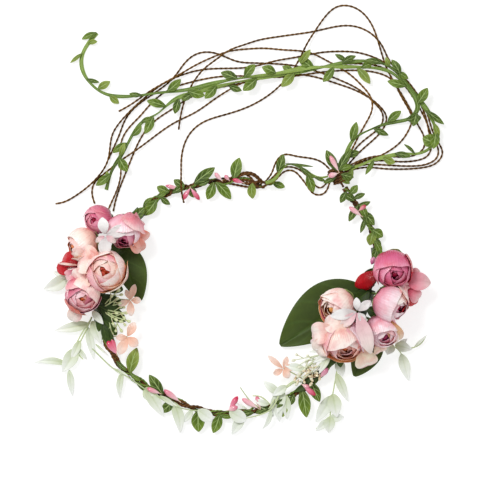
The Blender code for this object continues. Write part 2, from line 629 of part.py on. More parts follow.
def make_roses(places, line):
    """Roses: a turned bud with its stem, which points at the nearest part of the hoop."""
    for name, (centre, radius) in places.items():
        near = line[nearest(line, centre)]
        back = near - centre
        reach = np.linalg.norm(back)
        back /= reach
        stem_end = reach - (VINE_RADIUS + GAP + TAPE_WALL + 2 * GAP)
        across = np.cross(back, (0, 1, 0) if abs(back[1]) < 0.9 else (1, 0, 0))
        across /= np.linalg.norm(across)
        other = np.cross(back, across)
        profile = [(-math.cos(a) * radius, math.sin(a) * radius) for a in np.radians((12, 34, 58, 84, 110, 136))]
        if stem_end > radius * 1.02:
            profile += [(radius * 0.96, 2.4 * STEM_RADIUS), (stem_end, 1.6 * STEM_RADIUS)]
        else:
            profile += [(min(radius * 0.95, stem_end), radius * 0.2)]
        turns = np.arange(ROSE_SIDES) * 2 * math.pi / ROSE_SIDES
        loops = [
            [centre + back * d + r * (across * math.cos(a) + other * math.sin(a)) for a in turns]
            for d, r in profile
        ]
        skin(name, np.array(loops), "rose")


def make_large_leaves():
    """Large leaves: long ovals under the roses, cupped a little."""
    for name, (base, tip, left, right, height) in LARGE_LEAVES.items():
        a, b = plan((*base, height)), plan((*tip, height))
        loops = leaf_loops(a, b, left * MM, right * MM, 1.6 * LEAF_THICKNESS, 0.0012, stations=9)
        skin(name, loops, "large_leaf")


def make_florets(roses, hoop):
    """Florets: a flat plate with the outline r(a) = length * (0.36 + 0.64 |cos(petals a / 2)|).

    A floret has a wire stem from the hoop. A blossom is let down until it rests on the roses.
    """
    for name, (x, y, height, length, petals, turn, foot) in FLORETS.items():
        middle = plan((x, y, height))
        angles = np.arange(8 * petals) * 2 * math.pi / (8 * petals)
        reach = length * MM * (0.36 + 0.64 * np.abs(np.cos(petals * angles / 2)))
        angles = angles + math.radians(turn)
        outline = np.column_stack([reach * np.cos(angles), reach * np.sin(angles), np.zeros(len(angles))])
        up = np.array((0, 0, FLORET_THICKNESS))
        if foot is None:
            spots = np.concatenate([middle + outline * k for k in np.linspace(0, 1, 12)])
            for centre, radius in roses.values():
                apart = np.linalg.norm(spots[:, :2] - centre[:2], axis=1)
                top = centre[2] + np.sqrt(np.maximum((radius + GAP) ** 2 - apart**2, 0))
                middle[2] = max(middle[2], np.where(apart < radius + GAP, top, 0).max())
        shapes = [np.array([middle + outline, middle + outline + up])]
        if foot is not None:
            line = off_the_hoop(respaced(np.array([plan(foot), middle + up / 2]), 0.005), hoop)
            shapes.append(rings_along(line, STEM_RADIUS, 6))
        joined(name, shapes, "blossom" if foot is None else "floret")


def make_twigs(hoop):
    """Twigs: a stem with leaves on it, as one moulded piece. Its origin is where it can turn."""
    for name, (stem, leaves) in TWIGS.items():
        line = off_the_hoop(respaced(smooth([plan(p) for p in stem]), 0.005), hoop)
        shapes = [rings_along(line, STEM_RADIUS, 6)]
        for base, tip, half in leaves:
            fine = respaced(line, 0.0005)
            root = fine[nearest(fine, plan(base))]
            shapes.append(leaf_loops(root, plan(tip), half * MM, half * MM, LEAF_THICKNESS, 0.0006, 5))
        twig = joined(name, shapes, "sprig")
        twig.data.transform(Matrix.Translation(-Vector(line[0])))
        twig.location = line[0]


# ---------------------------------------------------------------- the cords
def make_cords(line):
    """Tie cords, leaf ribbons and the bridge at the back, laid over each other from the lowest up."""
    routes = {**BRIDGES, **CORDS, **RIBBONS}
    lines = [smooth([plan(p) for p in route], 0.0015) for route in routes.values()]
    radii = [RIBBON_RADIUS if "ribbon" in name else CORD_RADIUS for name in routes]
    heights = settle(lines, radii, respaced(line[:, :2], 0.002), TRIM_HEIGHT + STEM_RADIUS - VINE_RADIUS)
    for name, flat, height, radius in zip(routes, lines, heights, radii):
        route = np.column_stack([flat, height])
        slot = "trim" if "ribbon" in name else "vine"
        cord(name, needed(route, FACET), radius, slot)


def clear_scene():
    for obj in list(bpy.data.objects):
        bpy.data.objects.remove(obj)


def main():
    clear_scene()
    line = hoop_line()
    make_hoop(line)
    make_knot()
    make_trims(line)
    make_pips()
    roses = nestle(line)
    make_roses(roses, line)
    make_large_leaves()
    make_florets(roses, line)
    make_twigs(line)
    make_cords(line)


main()
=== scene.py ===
# %% [markdown]
# # A flower crown with long paper ties
#
# The crown lies on a white table and is seen from straight above. Its wire hoop is wound with
# brown paper vine, two clusters of cloth roses are taped to it, and eight paper cords and two
# leaf ribbons trail from the knot at the back. The solids behind it are fixed: this lesson adds
# the looks, piece by piece, and each new piece says which solid it stands for.

# %% Load the fixed frame
import math

import bpy
import numpy as np
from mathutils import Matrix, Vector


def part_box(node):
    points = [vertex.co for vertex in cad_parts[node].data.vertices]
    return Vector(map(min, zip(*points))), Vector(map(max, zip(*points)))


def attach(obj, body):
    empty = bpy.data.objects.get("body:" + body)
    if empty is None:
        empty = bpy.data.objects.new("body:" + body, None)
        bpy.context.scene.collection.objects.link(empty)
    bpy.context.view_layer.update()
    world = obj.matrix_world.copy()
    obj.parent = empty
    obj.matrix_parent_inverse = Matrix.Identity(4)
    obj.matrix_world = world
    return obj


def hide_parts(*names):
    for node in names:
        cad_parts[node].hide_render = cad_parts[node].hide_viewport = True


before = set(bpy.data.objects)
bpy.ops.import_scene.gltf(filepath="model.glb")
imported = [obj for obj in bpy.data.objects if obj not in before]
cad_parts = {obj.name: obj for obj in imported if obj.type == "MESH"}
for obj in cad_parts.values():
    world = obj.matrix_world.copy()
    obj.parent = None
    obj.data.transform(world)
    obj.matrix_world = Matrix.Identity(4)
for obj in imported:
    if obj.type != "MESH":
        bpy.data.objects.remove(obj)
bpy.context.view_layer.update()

MM = 0.001
chance = np.random.default_rng(11)

# %% [markdown]
# ## Camera, table and light
#
# The camera hangs two metres up and looks straight down through a long lens, which flattens the
# view as a product shot is flattened. A small strong lamp at the upper left models the petals, a
# wide weak one opposite opens the shadows, and an even white sky does the rest.

# %% Camera, table and light
VIEW_CENTRE = (12.35 * MM, 27.95 * MM)
VIEW_WIDTH = 325 * MM
CAMERA_HEIGHT = 2.0
scene = bpy.context.scene
scene.view_settings.view_transform = "Standard"

camera_data = bpy.data.cameras.new("camera")
camera_data.lens = camera_data.sensor_width * CAMERA_HEIGHT / VIEW_WIDTH
camera = bpy.data.objects.new("camera", camera_data)
camera.location = (*VIEW_CENTRE, CAMERA_HEIGHT)
scene.collection.objects.link(camera)
scene.camera = camera

LAMPS = {  # place in metres, width in metres, power in watts
    "key_lamp": ((-0.6, 0.75, 1.4), 0.5, 17),
    "fill_lamp": ((0.9, -0.7, 1.2), 1.2, 3),
}
for name, (place, width, power) in LAMPS.items():
    data = bpy.data.lights.new(name, "AREA")
    data.size, data.energy = width, power
    lamp = bpy.data.objects.new(name, data)
    lamp.location = place
    lamp.rotation_mode = "QUATERNION"
    lamp.rotation_quaternion = (-lamp.location).to_track_quat("-Z", "Y")
    scene.collection.objects.link(lamp)

world = bpy.data.worlds.new("studio")
world.use_nodes = True
sky = world.node_tree.nodes["Background"]
sky.inputs["Color"].default_value = (1, 1, 1, 1)
sky.inputs["Strength"].default_value = 0.5
scene.world = world
print("camera", tuple(round(x, 3) for x in camera.location), "lens", round(camera_data.lens))

# %% [markdown]
# ## Small helpers for colours and material nodes
#
# A hex colour is what the eye reads off a screen, and Blender computes with linear light, so one
# function turns the first into the second. Another adds a material node and joins it up.

# %% Colour and node helpers


def linear(code):
    """The linear red, green and blue of a hex colour such as "#a97b4f"."""
    channels = np.array([int(code[i : i + 2], 16) for i in (1, 3, 5)]) / 255
    return np.where(channels <= 0.04045, channels / 12.92, ((channels + 0.055) / 1.055) ** 2.4)


def between(t, *codes):
    """Colours along a run of hex colours: t = 0 is the first and t = 1 the last."""
    stops = np.array([linear(c) for c in codes])
    at = np.clip(t, 0, 1) * (len(codes) - 1)
    low = np.minimum(at.astype(int), len(codes) - 2)
    share = (at - low)[..., None]
    return stops[low] * (1 - share) + stops[low + 1] * share


def add_node(tree, kind, links=(), sockets=(), **settings):
    """A new node: links gives what feeds a socket, sockets its value, and the rest are settings."""
    node = tree.nodes.new("ShaderNode" + kind)
    for key, value in settings.items():
        setattr(node, key, value)
    for key, value in dict(sockets).items():
        node.inputs[key].default_value = value
    for key, source in dict(links).items():
        tree.links.new(source, node.inputs[key])
    return node


def new_material(name, roughness, **sockets):
    """A Principled material: its tree, its shader, and the constants set on its sockets."""
    material = bpy.data.materials.new(name)
    material.use_nodes = True
    tree = material.node_tree
    shader = tree.nodes["Principled BSDF"]
    shader.inputs["Roughness"].default_value = roughness
    for key, value in sockets.items():
        shader.inputs[key.replace("_", " ")].default_value = value
    return material, tree, shader


def tinted(tree, colour, factor, low, high):
    """The colour made darker and lighter by a pattern that runs from 0 to 1."""
    ramp = add_node(tree, "MapRange", {"Value": factor}, {"To Min": low, "To Max": high})
    links = {0: colour, "Scale": ramp.outputs["Result"]}
    return add_node(tree, "VectorMath", links, operation="SCALE").outputs["Vector"]


def dress(tree, shader, colour, height, strength, depth):
    """Give the shader its colour, and the relief of a height pattern that is depth mm deep."""
    sockets = {"Strength": strength, "Distance": depth * MM}
    relief = add_node(tree, "Bump", {"Height": height}, sockets)
    tree.links.new(colour, shader.inputs["Base Color"])
    tree.links.new(relief.outputs["Normal"], shader.inputs["Normal"])


def spaced(distance):
    """The scale of a pattern whose features are this many millimetres apart, to a whole number."""
    return float(round(1 / (distance * MM)))


# %% [markdown]
# ## Materials
#
# Every piece carries its own colours on its points, in an attribute called paint, because petals
# and leaves are coloured in gradients that follow their shape: partly their own dye, partly painted
# shade and painted highlight. The nodes add what the paint can't: veins and weave, which follow a
# second attribute, place, that says how far across (-1 to 1) and how far along (0 to 1) the piece
# each point is.

# %% Cloth, paper and plastic


def petal_cloth(name, pooled):
    """Dyed polyester petal cloth, heat-pressed: satin, with fine pressed lines and soft creases.

    The lines run from foot to rim, about 1 mm apart on a 20 mm petal; the creases are 3 mm wide.
    The dye pooled in patches about 8 mm wide, and the pooled colour multiplies the paint there.
    """
    material, tree, shader = new_material(name, 0.25, Specular_IOR_Level=0.38)
    paint = add_node(tree, "Attribute", attribute_name="paint").outputs["Color"]
    place = add_node(tree, "Attribute", attribute_name="place").outputs["Vector"]
    where = add_node(tree, "TexCoord").outputs["Object"]
    stretch = add_node(tree, "VectorMath", {0: place}, {1: (9, 0.8, 1)}, operation="MULTIPLY")
    stretched = stretch.outputs["Vector"]
    settings = {"Scale": 0.35, "Distortion": 2.5, "Detail": 2.0, "Detail Scale": 1.2}
    lines = add_node(tree, "TexWave", {"Vector": stretched}, settings)
    settings = {"Scale": spaced(3.33), "Detail": 3.0, "Distortion": 0.6}
    crease = add_node(tree, "TexNoise", {"Vector": where}, settings)
    cloud = add_node(tree, "TexNoise", {"Vector": stretched}, {"Scale": 1.3, "Detail": 3.0})
    settings = {"Scale": spaced(8.33), "Detail": 3.0, "Distortion": 0.4}
    dye = add_node(tree, "TexNoise", {"Vector": where}, settings)
    settings = {"From Min": 0.42, "From Max": 0.7, "To Max": 0.55}
    pool = add_node(tree, "MapRange", {"Value": dye.outputs["Fac"]}, settings)
    blush = add_node(
        tree, "Mix", {"Factor": pool.outputs["Result"], 6: paint}, {7: (*linear(pooled), 1)},
        data_type="RGBA", blend_type="MULTIPLY",
    )
    colour = tinted(tree, blush.outputs[2], cloud.outputs["Fac"], 0.84, 1.16)
    links = {0: lines.outputs["Fac"], 2: crease.outputs["Fac"]}
    height = add_node(tree, "Math", links, {1: 0.2}, operation="MULTIPLY_ADD")
    dress(tree, shader, colour, height.outputs[0], 0.45, 1.2)
    return material


def leaf_cloth(name, vein_light, relief=0.5):
    """Pressed leaf cloth: a raised pale midrib and slanted side veins, on satin green.

    The midrib is where |across| is under 0.13. A side vein is where 7 (along - 0.35 |across|),
    folded back at each whole number, is near 0, so the veins lean towards the tip.
    """
    material, tree, shader = new_material(name, 0.55, Specular_IOR_Level=0.3)
    paint = add_node(tree, "Attribute", attribute_name="paint").outputs["Color"]
    place = add_node(tree, "Attribute", attribute_name="place").outputs["Vector"]
    split = add_node(tree, "SeparateXYZ", {"Vector": place})
    side = add_node(tree, "Math", {0: split.outputs["X"]}, operation="ABSOLUTE").outputs[0]
    settings = {"From Min": 0.03, "From Max": 0.13, "To Min": 1.0, "To Max": 0.0}
    rib = add_node(tree, "MapRange", {"Value": side}, settings)
    links = {0: side, 2: split.outputs["Y"]}
    lean = add_node(tree, "Math", links, {1: -0.35}, operation="MULTIPLY_ADD")
    saw = add_node(tree, "Math", {0: lean.outputs[0]}, {1: 7.0}, operation="MULTIPLY")
    tooth = add_node(tree, "Math", {0: saw.outputs[0]}, {1: 1.0}, operation="PINGPONG")
    settings = {"From Min": 0.0, "From Max": 0.22, "To Min": 0.75, "To Max": 0.0}
    vein = add_node(tree, "MapRange", {"Value": tooth.outputs[0]}, settings)
    links = {0: rib.outputs[0], 1: vein.outputs[0]}
    both = add_node(tree, "Math", links, operation="MAXIMUM").outputs[0]
    sockets = {7: (*linear(vein_light), 1)}
    pale = add_node(tree, "Mix", {"Factor": both, 6: paint}, sockets, data_type="RGBA")
    where = add_node(tree, "TexCoord").outputs["Object"]
    mottle = add_node(tree, "TexNoise", {"Vector": where}, {"Scale": spaced(3.85), "Detail": 3.0})
    colour = tinted(tree, pale.outputs[2], mottle.outputs["Fac"], 0.75, 1.2)
    dress(tree, shader, colour, both, relief, 0.3)
    return material


def paper_twist(name):
    """Twisted kraft paper: matt, stained in patches 13 mm long, with fibres half a mm apart."""
    material, tree, shader = new_material(name, 0.8, Specular_IOR_Level=0.2)
    paint = add_node(tree, "Attribute", attribute_name="paint").outputs["Color"]
    where = add_node(tree, "TexCoord").outputs["Object"]
    stain = add_node(tree, "TexNoise", {"Vector": where}, {"Scale": spaced(13.3), "Detail": 5.0})
    fibres = add_node(tree, "TexNoise", {"Vector": where}, {"Scale": spaced(0.5556), "Detail": 2.0})
    colour = tinted(tree, paint, stain.outputs["Fac"], 0.1, 1.9)
    dress(tree, shader, colour, fibres.outputs["Fac"], 0.3, 0.1)
    return material


def moulded_plastic(name, roughness, **sockets):
    """Soft moulded polyethylene, dyed through: a waxy surface with a faint mottle of 2 mm."""
    material, tree, shader = new_material(name, roughness, **sockets)
    paint = add_node(tree, "Attribute", attribute_name="paint").outputs["Color"]
    where = add_node(tree, "TexCoord").outputs["Object"]
    mottle = add_node(tree, "TexNoise", {"Vector": where}, {"Scale": spaced(2), "Detail": 2.0})
    mottle = mottle.outputs["Fac"]
    dress(tree, shader, tinted(tree, paint, mottle, 0.93, 1.07), mottle, 0.1, 0.2)
    return material


rose_satin = petal_cloth("rose_polyester_satin", "#f08c98")
blossom_cloth = petal_cloth("white_blossom_polyester", "#e9dcdc")
floret_cloth = petal_cloth("peach_floret_polyester", "#f9d4c0")
trim_leaf = leaf_cloth("leaf_trim_satin", "#a3bb72")
dark_leaf = leaf_cloth("large_leaf_pressed_cloth", "#41581a", relief=0.12)
kraft = paper_twist("kraft_paper_twist")
frosted = moulded_plastic("frosted_polyethylene", 0.5)
lacquer = moulded_plastic("lacquered_foam_pip", 0.3, Coat_Weight=0.3)
print("materials:", len(bpy.data.materials))

# %% [markdown]
# ## How a piece is put together
#
# Most of the crown is thin sheets and thin rods. Both are worked out as whole arrays of points
# with numpy, collected in a batch, and made one mesh per piece. A thin sheet becomes a closed
# shell, so that it has an inside and an outside, and each side can have its own colour.

# %% Batches of shells and rods
BORDER_SHARE = 0.35  # a shell's thickness at its border, as a share of the rest
FLOOR_GAP = 0.02  # the least height of any point, in millimetres
ROUND = 70  # degrees: a piece of round rods is smooth over blunter edges than cloth's 60


def new_batch():
    """An empty batch: points, quads, triangles, and the paint and place of each point."""
    return {"points": [], "quads": [], "tris": [], "paint": [], "place": [], "count": 0}


def add_to(batch, points, quads, tris, paint, place):
    """Add a closed solid to the batch; its faces number its own points from 0."""
    batch["quads"].append(np.asarray(quads) + batch["count"])
    if len(tris):
        batch["tris"].append(np.asarray(tris) + batch["count"])
    batch["points"].append(points)
    batch["paint"].append(np.broadcast_to(paint, (len(points), 3)))
    batch["place"].append(place)
    batch["count"] += len(points)


def unit(v):
    """Vectors scaled to length one."""
    v = np.asarray(v, float)
    return v / np.maximum(np.linalg.norm(v, axis=-1, keepdims=True), 1e-12)


def add_shell(batch, grid, thickness, front, back, across, along):
    """A closed shell over a grid of points: half the thickness to each side of it.

    The front is where the cross product of the grid's two directions points. The shell thins at
    its border. front and back are the colours of the two sides.
    """
    rows, columns = grid.shape[:2]
    normal = unit(np.cross(np.gradient(grid, axis=0), np.gradient(grid, axis=1)))
    thin = np.full((rows, columns, 1), thickness / 2)
    thin[[0, -1], :] *= BORDER_SHARE
    thin[:, [0, -1]] *= BORDER_SHARE
    points = np.concatenate([(grid + normal * thin), (grid - normal * thin)]).reshape(-1, 3)
    index = np.arange(rows * columns).reshape(rows, columns)
    a, b, c, d = index[:-1, :-1], index[1:, :-1], index[1:, 1:], index[:-1, 1:]
    face = np.stack([a, b, c, d], axis=-1).reshape(-1, 4)
    border = np.concatenate([index[:, 0], index[-1, 1:], index[-2::-1, -1], index[0, -2:0:-1]])
    after = np.roll(border, -1)
    below = rows * columns
    rim = np.stack([after, border, border + below, after + below], axis=-1)
    quads = np.concatenate([face, face[:, ::-1] + below, rim])
    paint = np.concatenate([np.broadcast_to(side, grid.shape) for side in (front, back)])
    place = np.stack([across, along, np.zeros_like(across)], axis=-1).reshape(-1, 3)
    add_to(batch, points, quads, (), paint.reshape(-1, 3), np.concatenate([place, place]))


def frames(line, up=(0, 0, 1)):
    """The direction, the side and the top of a line at each of its points."""
    ahead = unit(np.gradient(np.asarray(line, float), axis=0))
    side = unit(np.cross(ahead, up))
    return ahead, side, np.cross(side, ahead)


def add_rings(batch, line, rings, paint, place):
    """A closed solid through rings of points about a line, with a fan at each end.

    The rings run from the line's side to its top. paint and place are given for each ring point.
    """
    count, sides = rings.shape[:2]
    points = np.concatenate([rings.reshape(-1, 3), line[[0, -1]]])
    paint = np.concatenate([paint.reshape(-1, 3), paint[[0, -1], [0, -1]]])
    place = np.concatenate([place.reshape(-1, 3), np.zeros((2, 3))])
    index = np.arange(count * sides).reshape(count, sides)
    turned = np.roll(index, -1, axis=1)
    quads = np.stack([index[1:], turned[1:], turned[:-1], index[:-1]], axis=-1).reshape(-1, 4)
    first, last = np.full((2, sides), count * sides) + [[0], [1]]
    start = np.stack([index[0], turned[0], first], axis=-1)
    end = np.stack([turned[-1], index[-1], last], axis=-1)
    add_to(batch, points, quads, np.concatenate([start, end]), paint, place)


def add_rod(batch, line, radius, paint, sides=8, outline=1.0, up=(0, 0, 1)):
    """A rod along a line: rings of points, closed at both ends with a fan.

    The ring's point at angle a is the line's point + r (side cos a + top sin a). outline gives a
    factor on r for each ring and angle. paint is one colour, or one for each ring and angle.
    """
    line = np.asarray(line, float)
    ahead, side, top = frames(line, up)
    angle = np.arange(sides) * 2 * math.pi / sides
    r = np.broadcast_to(radius, len(line))[:, None] * np.ones(sides) * outline
    spoke = np.cos(angle)[:, None] * side[:, None] + np.sin(angle)[:, None] * top[:, None]
    paint = np.asarray(paint)
    if paint.ndim == 2:
        paint = paint[:, None]
    place = np.zeros((len(line), sides, 3))
    place[..., 0] = np.cos(angle)
    place[..., 1] = np.linspace(0, 1, len(line))[:, None]
    rings = line[:, None] + r[..., None] * spoke
    add_rings(batch, line, rings, np.broadcast_to(paint, rings.shape), place)


def make_piece(name, batch, material, body="crown", stands_for=(), sharp=60):
    """The batch as one object that rests on the table, rides on a body and stands for its solids.

    Edges sharper than sharp degrees stay crisp.
    """
    mesh = bpy.data.meshes.new(name)
    points = np.concatenate(batch["points"])
    points[:, 2] = np.maximum(points[:, 2], FLOOR_GAP * MM)
    faces = np.concatenate(batch["quads"]).tolist()
    if batch["tris"]:
        faces += np.concatenate(batch["tris"]).tolist()
    mesh.from_pydata(points, [], faces)
    paint = np.column_stack([np.clip(np.concatenate(batch["paint"]), 0, 1), np.ones(len(points))])
    painted = mesh.attributes.new("paint", "FLOAT_COLOR", "POINT")
    painted.data.foreach_set("color", paint.ravel())
    placed = mesh.attributes.new("place", "FLOAT_VECTOR", "POINT")
    placed.data.foreach_set("vector", np.concatenate(batch["place"]).ravel())
    mesh.materials.append(material)
    mesh.shade_smooth()
    mesh.set_sharp_from_angle(angle=math.radians(sharp))
    obj = bpy.data.objects.new(name, mesh)
    scene.collection.objects.link(obj)
    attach(obj, body)
    if stands_for:
        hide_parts(*stands_for)
    print(f"{name}: {len(points)} points, {len(faces)} faces")
    return obj


def leaf_grid(
    base, tip, half, arch=1.0, fold=0.25, droop=0.0, widest=1.0, blunt=0.75, up=(0, 0, 1), rows=15,
    columns=9, ripple=0.0, sway=0.0,
):
    """A leaf's grid of points, in metres from millimetres, with its across and along.

    Half width: half * sin(pi v ** widest) ** blunt. The middle line bows up by 4 arch v (1 - v),
    sinks by droop v ** 2 and sways sideways by 4 sway v (1 - v). The sides rise by fold * |u| *
    width and wave by ripple sin(11 v + 2 u) |u|.
    """
    base, tip = np.array(base, float), np.array(tip, float)
    v = np.linspace(0.0, 1.0, rows)[:, None]
    u = np.linspace(-1, 1, columns)[None, :]
    inner = 0.015 + 0.97 * v  # neither end comes to nothing
    width = half * np.sin(math.pi * inner**widest) ** blunt
    ahead = tip - base
    side = unit(np.cross(up, ahead))
    top = unit(np.cross(ahead, side))
    middle = base + ahead * v + side * (sway * 4 * v * (1 - v))
    lift = arch * 4 * v * (1 - v) - droop * v**2
    wave = ripple * np.sin(v * 11 + u * 2.0) * np.abs(u)
    grid = middle[:, None] + (u * width)[..., None] * side
    grid = grid + (lift + fold * np.abs(u) * width + wave)[..., None] * top
    return grid * MM, u + 0 * v, v + 0 * u


# %% [markdown]
# ## The paths of the hoop and the cords
#
# The cords trail over the table and over each other. Each is drawn through a few chosen points
# with a natural spline, and then laid: the lowest cord lies on the table, and each later one rides
# over those that it crosses in a long low hump, as a limp cord does.

# %% Curves through chosen points


def respaced(line, step):
    """The same line with points at an even step."""
    along = np.concatenate([[0], np.cumsum(np.linalg.norm(np.diff(line, axis=0), axis=1))])
    at = np.linspace(0, along[-1], max(2, round(along[-1] / step) + 1))
    return np.stack([np.interp(at, along, line[:, k]) for k in range(line.shape[1])], axis=1)


def smooth(points, step):
    """Evenly spaced points along the natural cubic spline through the given points."""
    p = np.asarray(points, float)
    along = np.concatenate([[0], np.cumsum(np.linalg.norm(np.diff(p, axis=0), axis=1))])
    gap = np.diff(along)[:, None]
    slope = np.diff(p, axis=0) / gap
    count = len(p)
    system, known = np.eye(count), np.zeros_like(p)
    for i in range(1, count - 1):
        system[i, i - 1 : i + 2] = gap[i - 1, 0], 2 * (gap[i - 1, 0] + gap[i, 0]), gap[i, 0]
        known[i] = 6 * (slope[i] - slope[i - 1])
    bend = np.linalg.solve(system, known)
    at = np.linspace(0, along[-1], 40 * count)
    i = np.clip(np.searchsorted(along, at, side="right") - 1, 0, count - 2)
    near, far = (at - along[i])[:, None], (along[i + 1] - at)[:, None]
    h = gap[i]
    fine = (bend[i] * far**3 + bend[i + 1] * near**3) / (6 * h)
    fine += (p[i] / h - bend[i] * h / 6) * far + (p[i + 1] / h - bend[i + 1] * h / 6) * near
    return respaced(fine, step)


def settle(lines, radii, obstacle, obstacle_height, obstacle_radius, gap, hump):
    """Heights that lay cords on the table, over the obstacle and over each other, the first lowest.

    A point is lifted where it is nearer in plan than the two radii and the gap. Each lift becomes
    a cosine hump, hump long to each side; the heights are then softened, and raised where that cut
    into what lies below.
    """
    soften, patch = 3.0, 6.0
    placed = [(obstacle, np.full(len(obstacle), obstacle_height), obstacle_radius)]
    heights = []
    for line, radius in zip(lines, radii):
        least = np.full(len(line), radius)
        for other, height, other_radius in placed:
            apart = np.linalg.norm(line[:, None] - other[None], axis=2)
            clear = radius + other_radius + gap
            rise = np.sqrt(np.maximum(clear**2 - apart**2, 0))
            least = np.maximum(least, np.where(apart < clear, height[None] + rise, 0).max(axis=1))
        step = np.linalg.norm(line[1] - line[0])
        away = np.abs(np.subtract.outer(np.arange(len(line)), np.arange(len(line)))) * step
        bell, mend = (
            np.cos(np.clip(away / reach, 0, 1) * math.pi / 2) ** 2 for reach in (hump, patch)
        )
        envelope = radius + ((least - radius)[None] * bell).max(axis=1)
        soft = np.exp(-((away / soften) ** 2))
        height = (soft @ envelope) / soft.sum(axis=1)
        height = height + (np.maximum(least - height, 0)[None] * mend).max(axis=1)
        placed.append((line, height, radius))
        heights.append(height)
    return heights


# %% [markdown]
# ## The hoop's line and the cords' routes
#
# The hoop is an open ring with a gap at the back, where the wearer ties it. The cords leave the
# knot at the gap's right end, swing out to the right and back over the top, and end in bare cut
# ends. Their points are in millimetres, seen from above, and are the same ones that the solids
# were drawn through.

# %% The hoop's line and the cords' routes
HOOP = [
    (20, 71), (4, 73), (-14, 72), (-31, 68.5), (-48, 61), (-63, 48.5), (-75, 32), (-83, 12),
    (-86, -8), (-82, -30), (-70, -48.5), (-52, -62), (-31, -72), (-8, -78), (15, -76.5),
    (36, -68.5), (56, -54.5), (72, -35.5), (84, -14), (92, 7), (95, 26), (90, 43.5), (81, 58),
    (73.5, 68),
]
# The tie cords, lowest first.
CORDS = {
    "tie_cord_1": [
        (75.5, 82.5), (84, 92), (93, 100), (99, 107), (101, 114), (97, 121), (88, 128), (79, 132.5),
        (69, 136), (58, 139.5), (43, 142), (28, 141), (14, 138), (0, 135), (-10, 133), (-20, 130),
        (-30, 125), (-39, 119), (-48, 113), (-55, 106), (-60, 98), (-64, 89), (-68, 79), (-72, 69),
        (-75, 60), (-76.5, 53),
    ],
    "tie_cord_2": [
        (75, 78.5), (83, 82.5), (94, 83.5), (106, 82.8), (118, 82.5), (128, 84), (134, 88.5),
        (134.5, 94),
        (131, 101), (127.5, 110), (122, 121), (115, 132), (107, 141), (97, 147), (84, 149),
        (71, 148.7),
        (58, 147), (42, 145), (26, 142), (10, 137.5), (-2, 131.5), (-12, 125), (-23, 117.5),
        (-36, 111), (-50, 101.5), (-62, 92.5), (-73, 85), (-83, 77), (-89, 71), (-90.3, 65),
        (-88.5, 58),
    ],
    "tie_cord_3": [
        (75.8, 80), (84, 85), (94, 88), (103, 92.5), (110, 98), (115.5, 106), (117.5, 113),
        (114, 122),
        (109, 131), (105, 138), (97, 142.5), (85, 144.5), (71, 144.5), (56, 143), (38, 140.5),
        (20, 140.3), (0, 141), (-12, 140), (-22, 138), (-33, 135), (-43, 130.5), (-52, 123),
        (-60, 114), (-67, 106.5), (-71, 99), (-72, 89), (-71.5, 78), (-74, 67), (-78, 58),
        (-80, 53.5),
    ],
    "tie_cord_4": [
        (74.5, 83.5), (82, 95), (92, 103.5), (98, 110), (98.5, 116), (94, 122.5), (86, 130),
        (76, 136),
        (65, 140.5), (52, 145), (40, 147.8), (27, 149), (14, 149.5), (4, 150.5), (-5, 154),
        (-14, 156.5), (-23, 155), (-30, 149.5), (-36, 141.5), (-44, 134), (-54, 127), (-63, 120),
        (-69, 112), (-72.5, 103), (-76, 95), (-79.5, 87),
    ],
    "tie_cord_5": [
        (76, 81), (86, 84.5), (98, 86), (110, 85.3), (121, 86.2), (128, 89.5), (130, 94.5),
        (129, 102),
        (127, 112), (123.5, 122), (117, 133), (109.5, 142), (101, 149), (92, 153.5), (82, 156.3),
        (70, 157), (58, 156.2), (44, 153.5), (28, 150.5), (14, 147), (0, 146), (-12, 145.7),
        (-22, 144.5), (-32, 141.5), (-43, 136.5), (-54, 128.5), (-64, 119.5), (-72, 111),
        (-77, 103),
        (-78.5, 95), (-80, 86), (-85.5, 76.5), (-93, 69), (-102, 62.5), (-109, 59), (-114, 58),
    ],
    "tie_cord_6": [
        (73.5, 83), (78, 92), (83, 102), (88, 111), (91.5, 119), (91, 126), (86, 133.5),
        (79, 140.5),
        (71, 146), (62, 151), (54, 155), (45, 157.2), (34, 158), (22, 159), (10, 158.5), (-1, 157),
        (-11, 153.5), (-22, 148.5), (-33, 142), (-43, 136.5), (-54, 130), (-64, 123), (-73, 118),
    ],
    "tie_cord_7": [
        (76.2, 79.3), (87, 81.5), (99, 80.8), (113, 80.5), (125, 81.5), (134, 85), (137.3, 91),
        (134.5, 98),
        (130.5, 106), (127.5, 116), (122.5, 126.5), (115.5, 136.5), (107.5, 145), (102, 152.5),
        (98.5, 160), (93.5, 166.5), (86, 171.5), (77, 173.7), (66, 172.7), (54, 170), (41, 168),
        (29, 166.3), (18, 164.3), (8, 161), (-1, 157.5), (-9, 152), (-17, 146), (-23, 139),
        (-27.5, 131), (-31, 122), (-33, 113), (-34, 106),
    ],
    "tie_cord_8": [
        (75.5, 82), (85, 86.5), (97, 89), (110, 88.3), (119, 89.5), (125, 94), (125.5, 101),
        (121.5, 109),
        (117, 118), (112, 127), (106.5, 136), (101.5, 145), (98, 155), (95, 165), (91, 175),
        (85, 182.5), (77, 186.5), (69, 186), (62, 180.5), (55.5, 171.5), (49.5, 162), (45, 153),
        (39, 143), (30, 133), (19, 125), (7, 119.3), (-7, 115), (-18, 111), (-26, 104.5),
        (-30.5, 96), (-32.3, 86), (-32.3, 76), (-32, 66), (-30.5, 58.5),
    ],
}
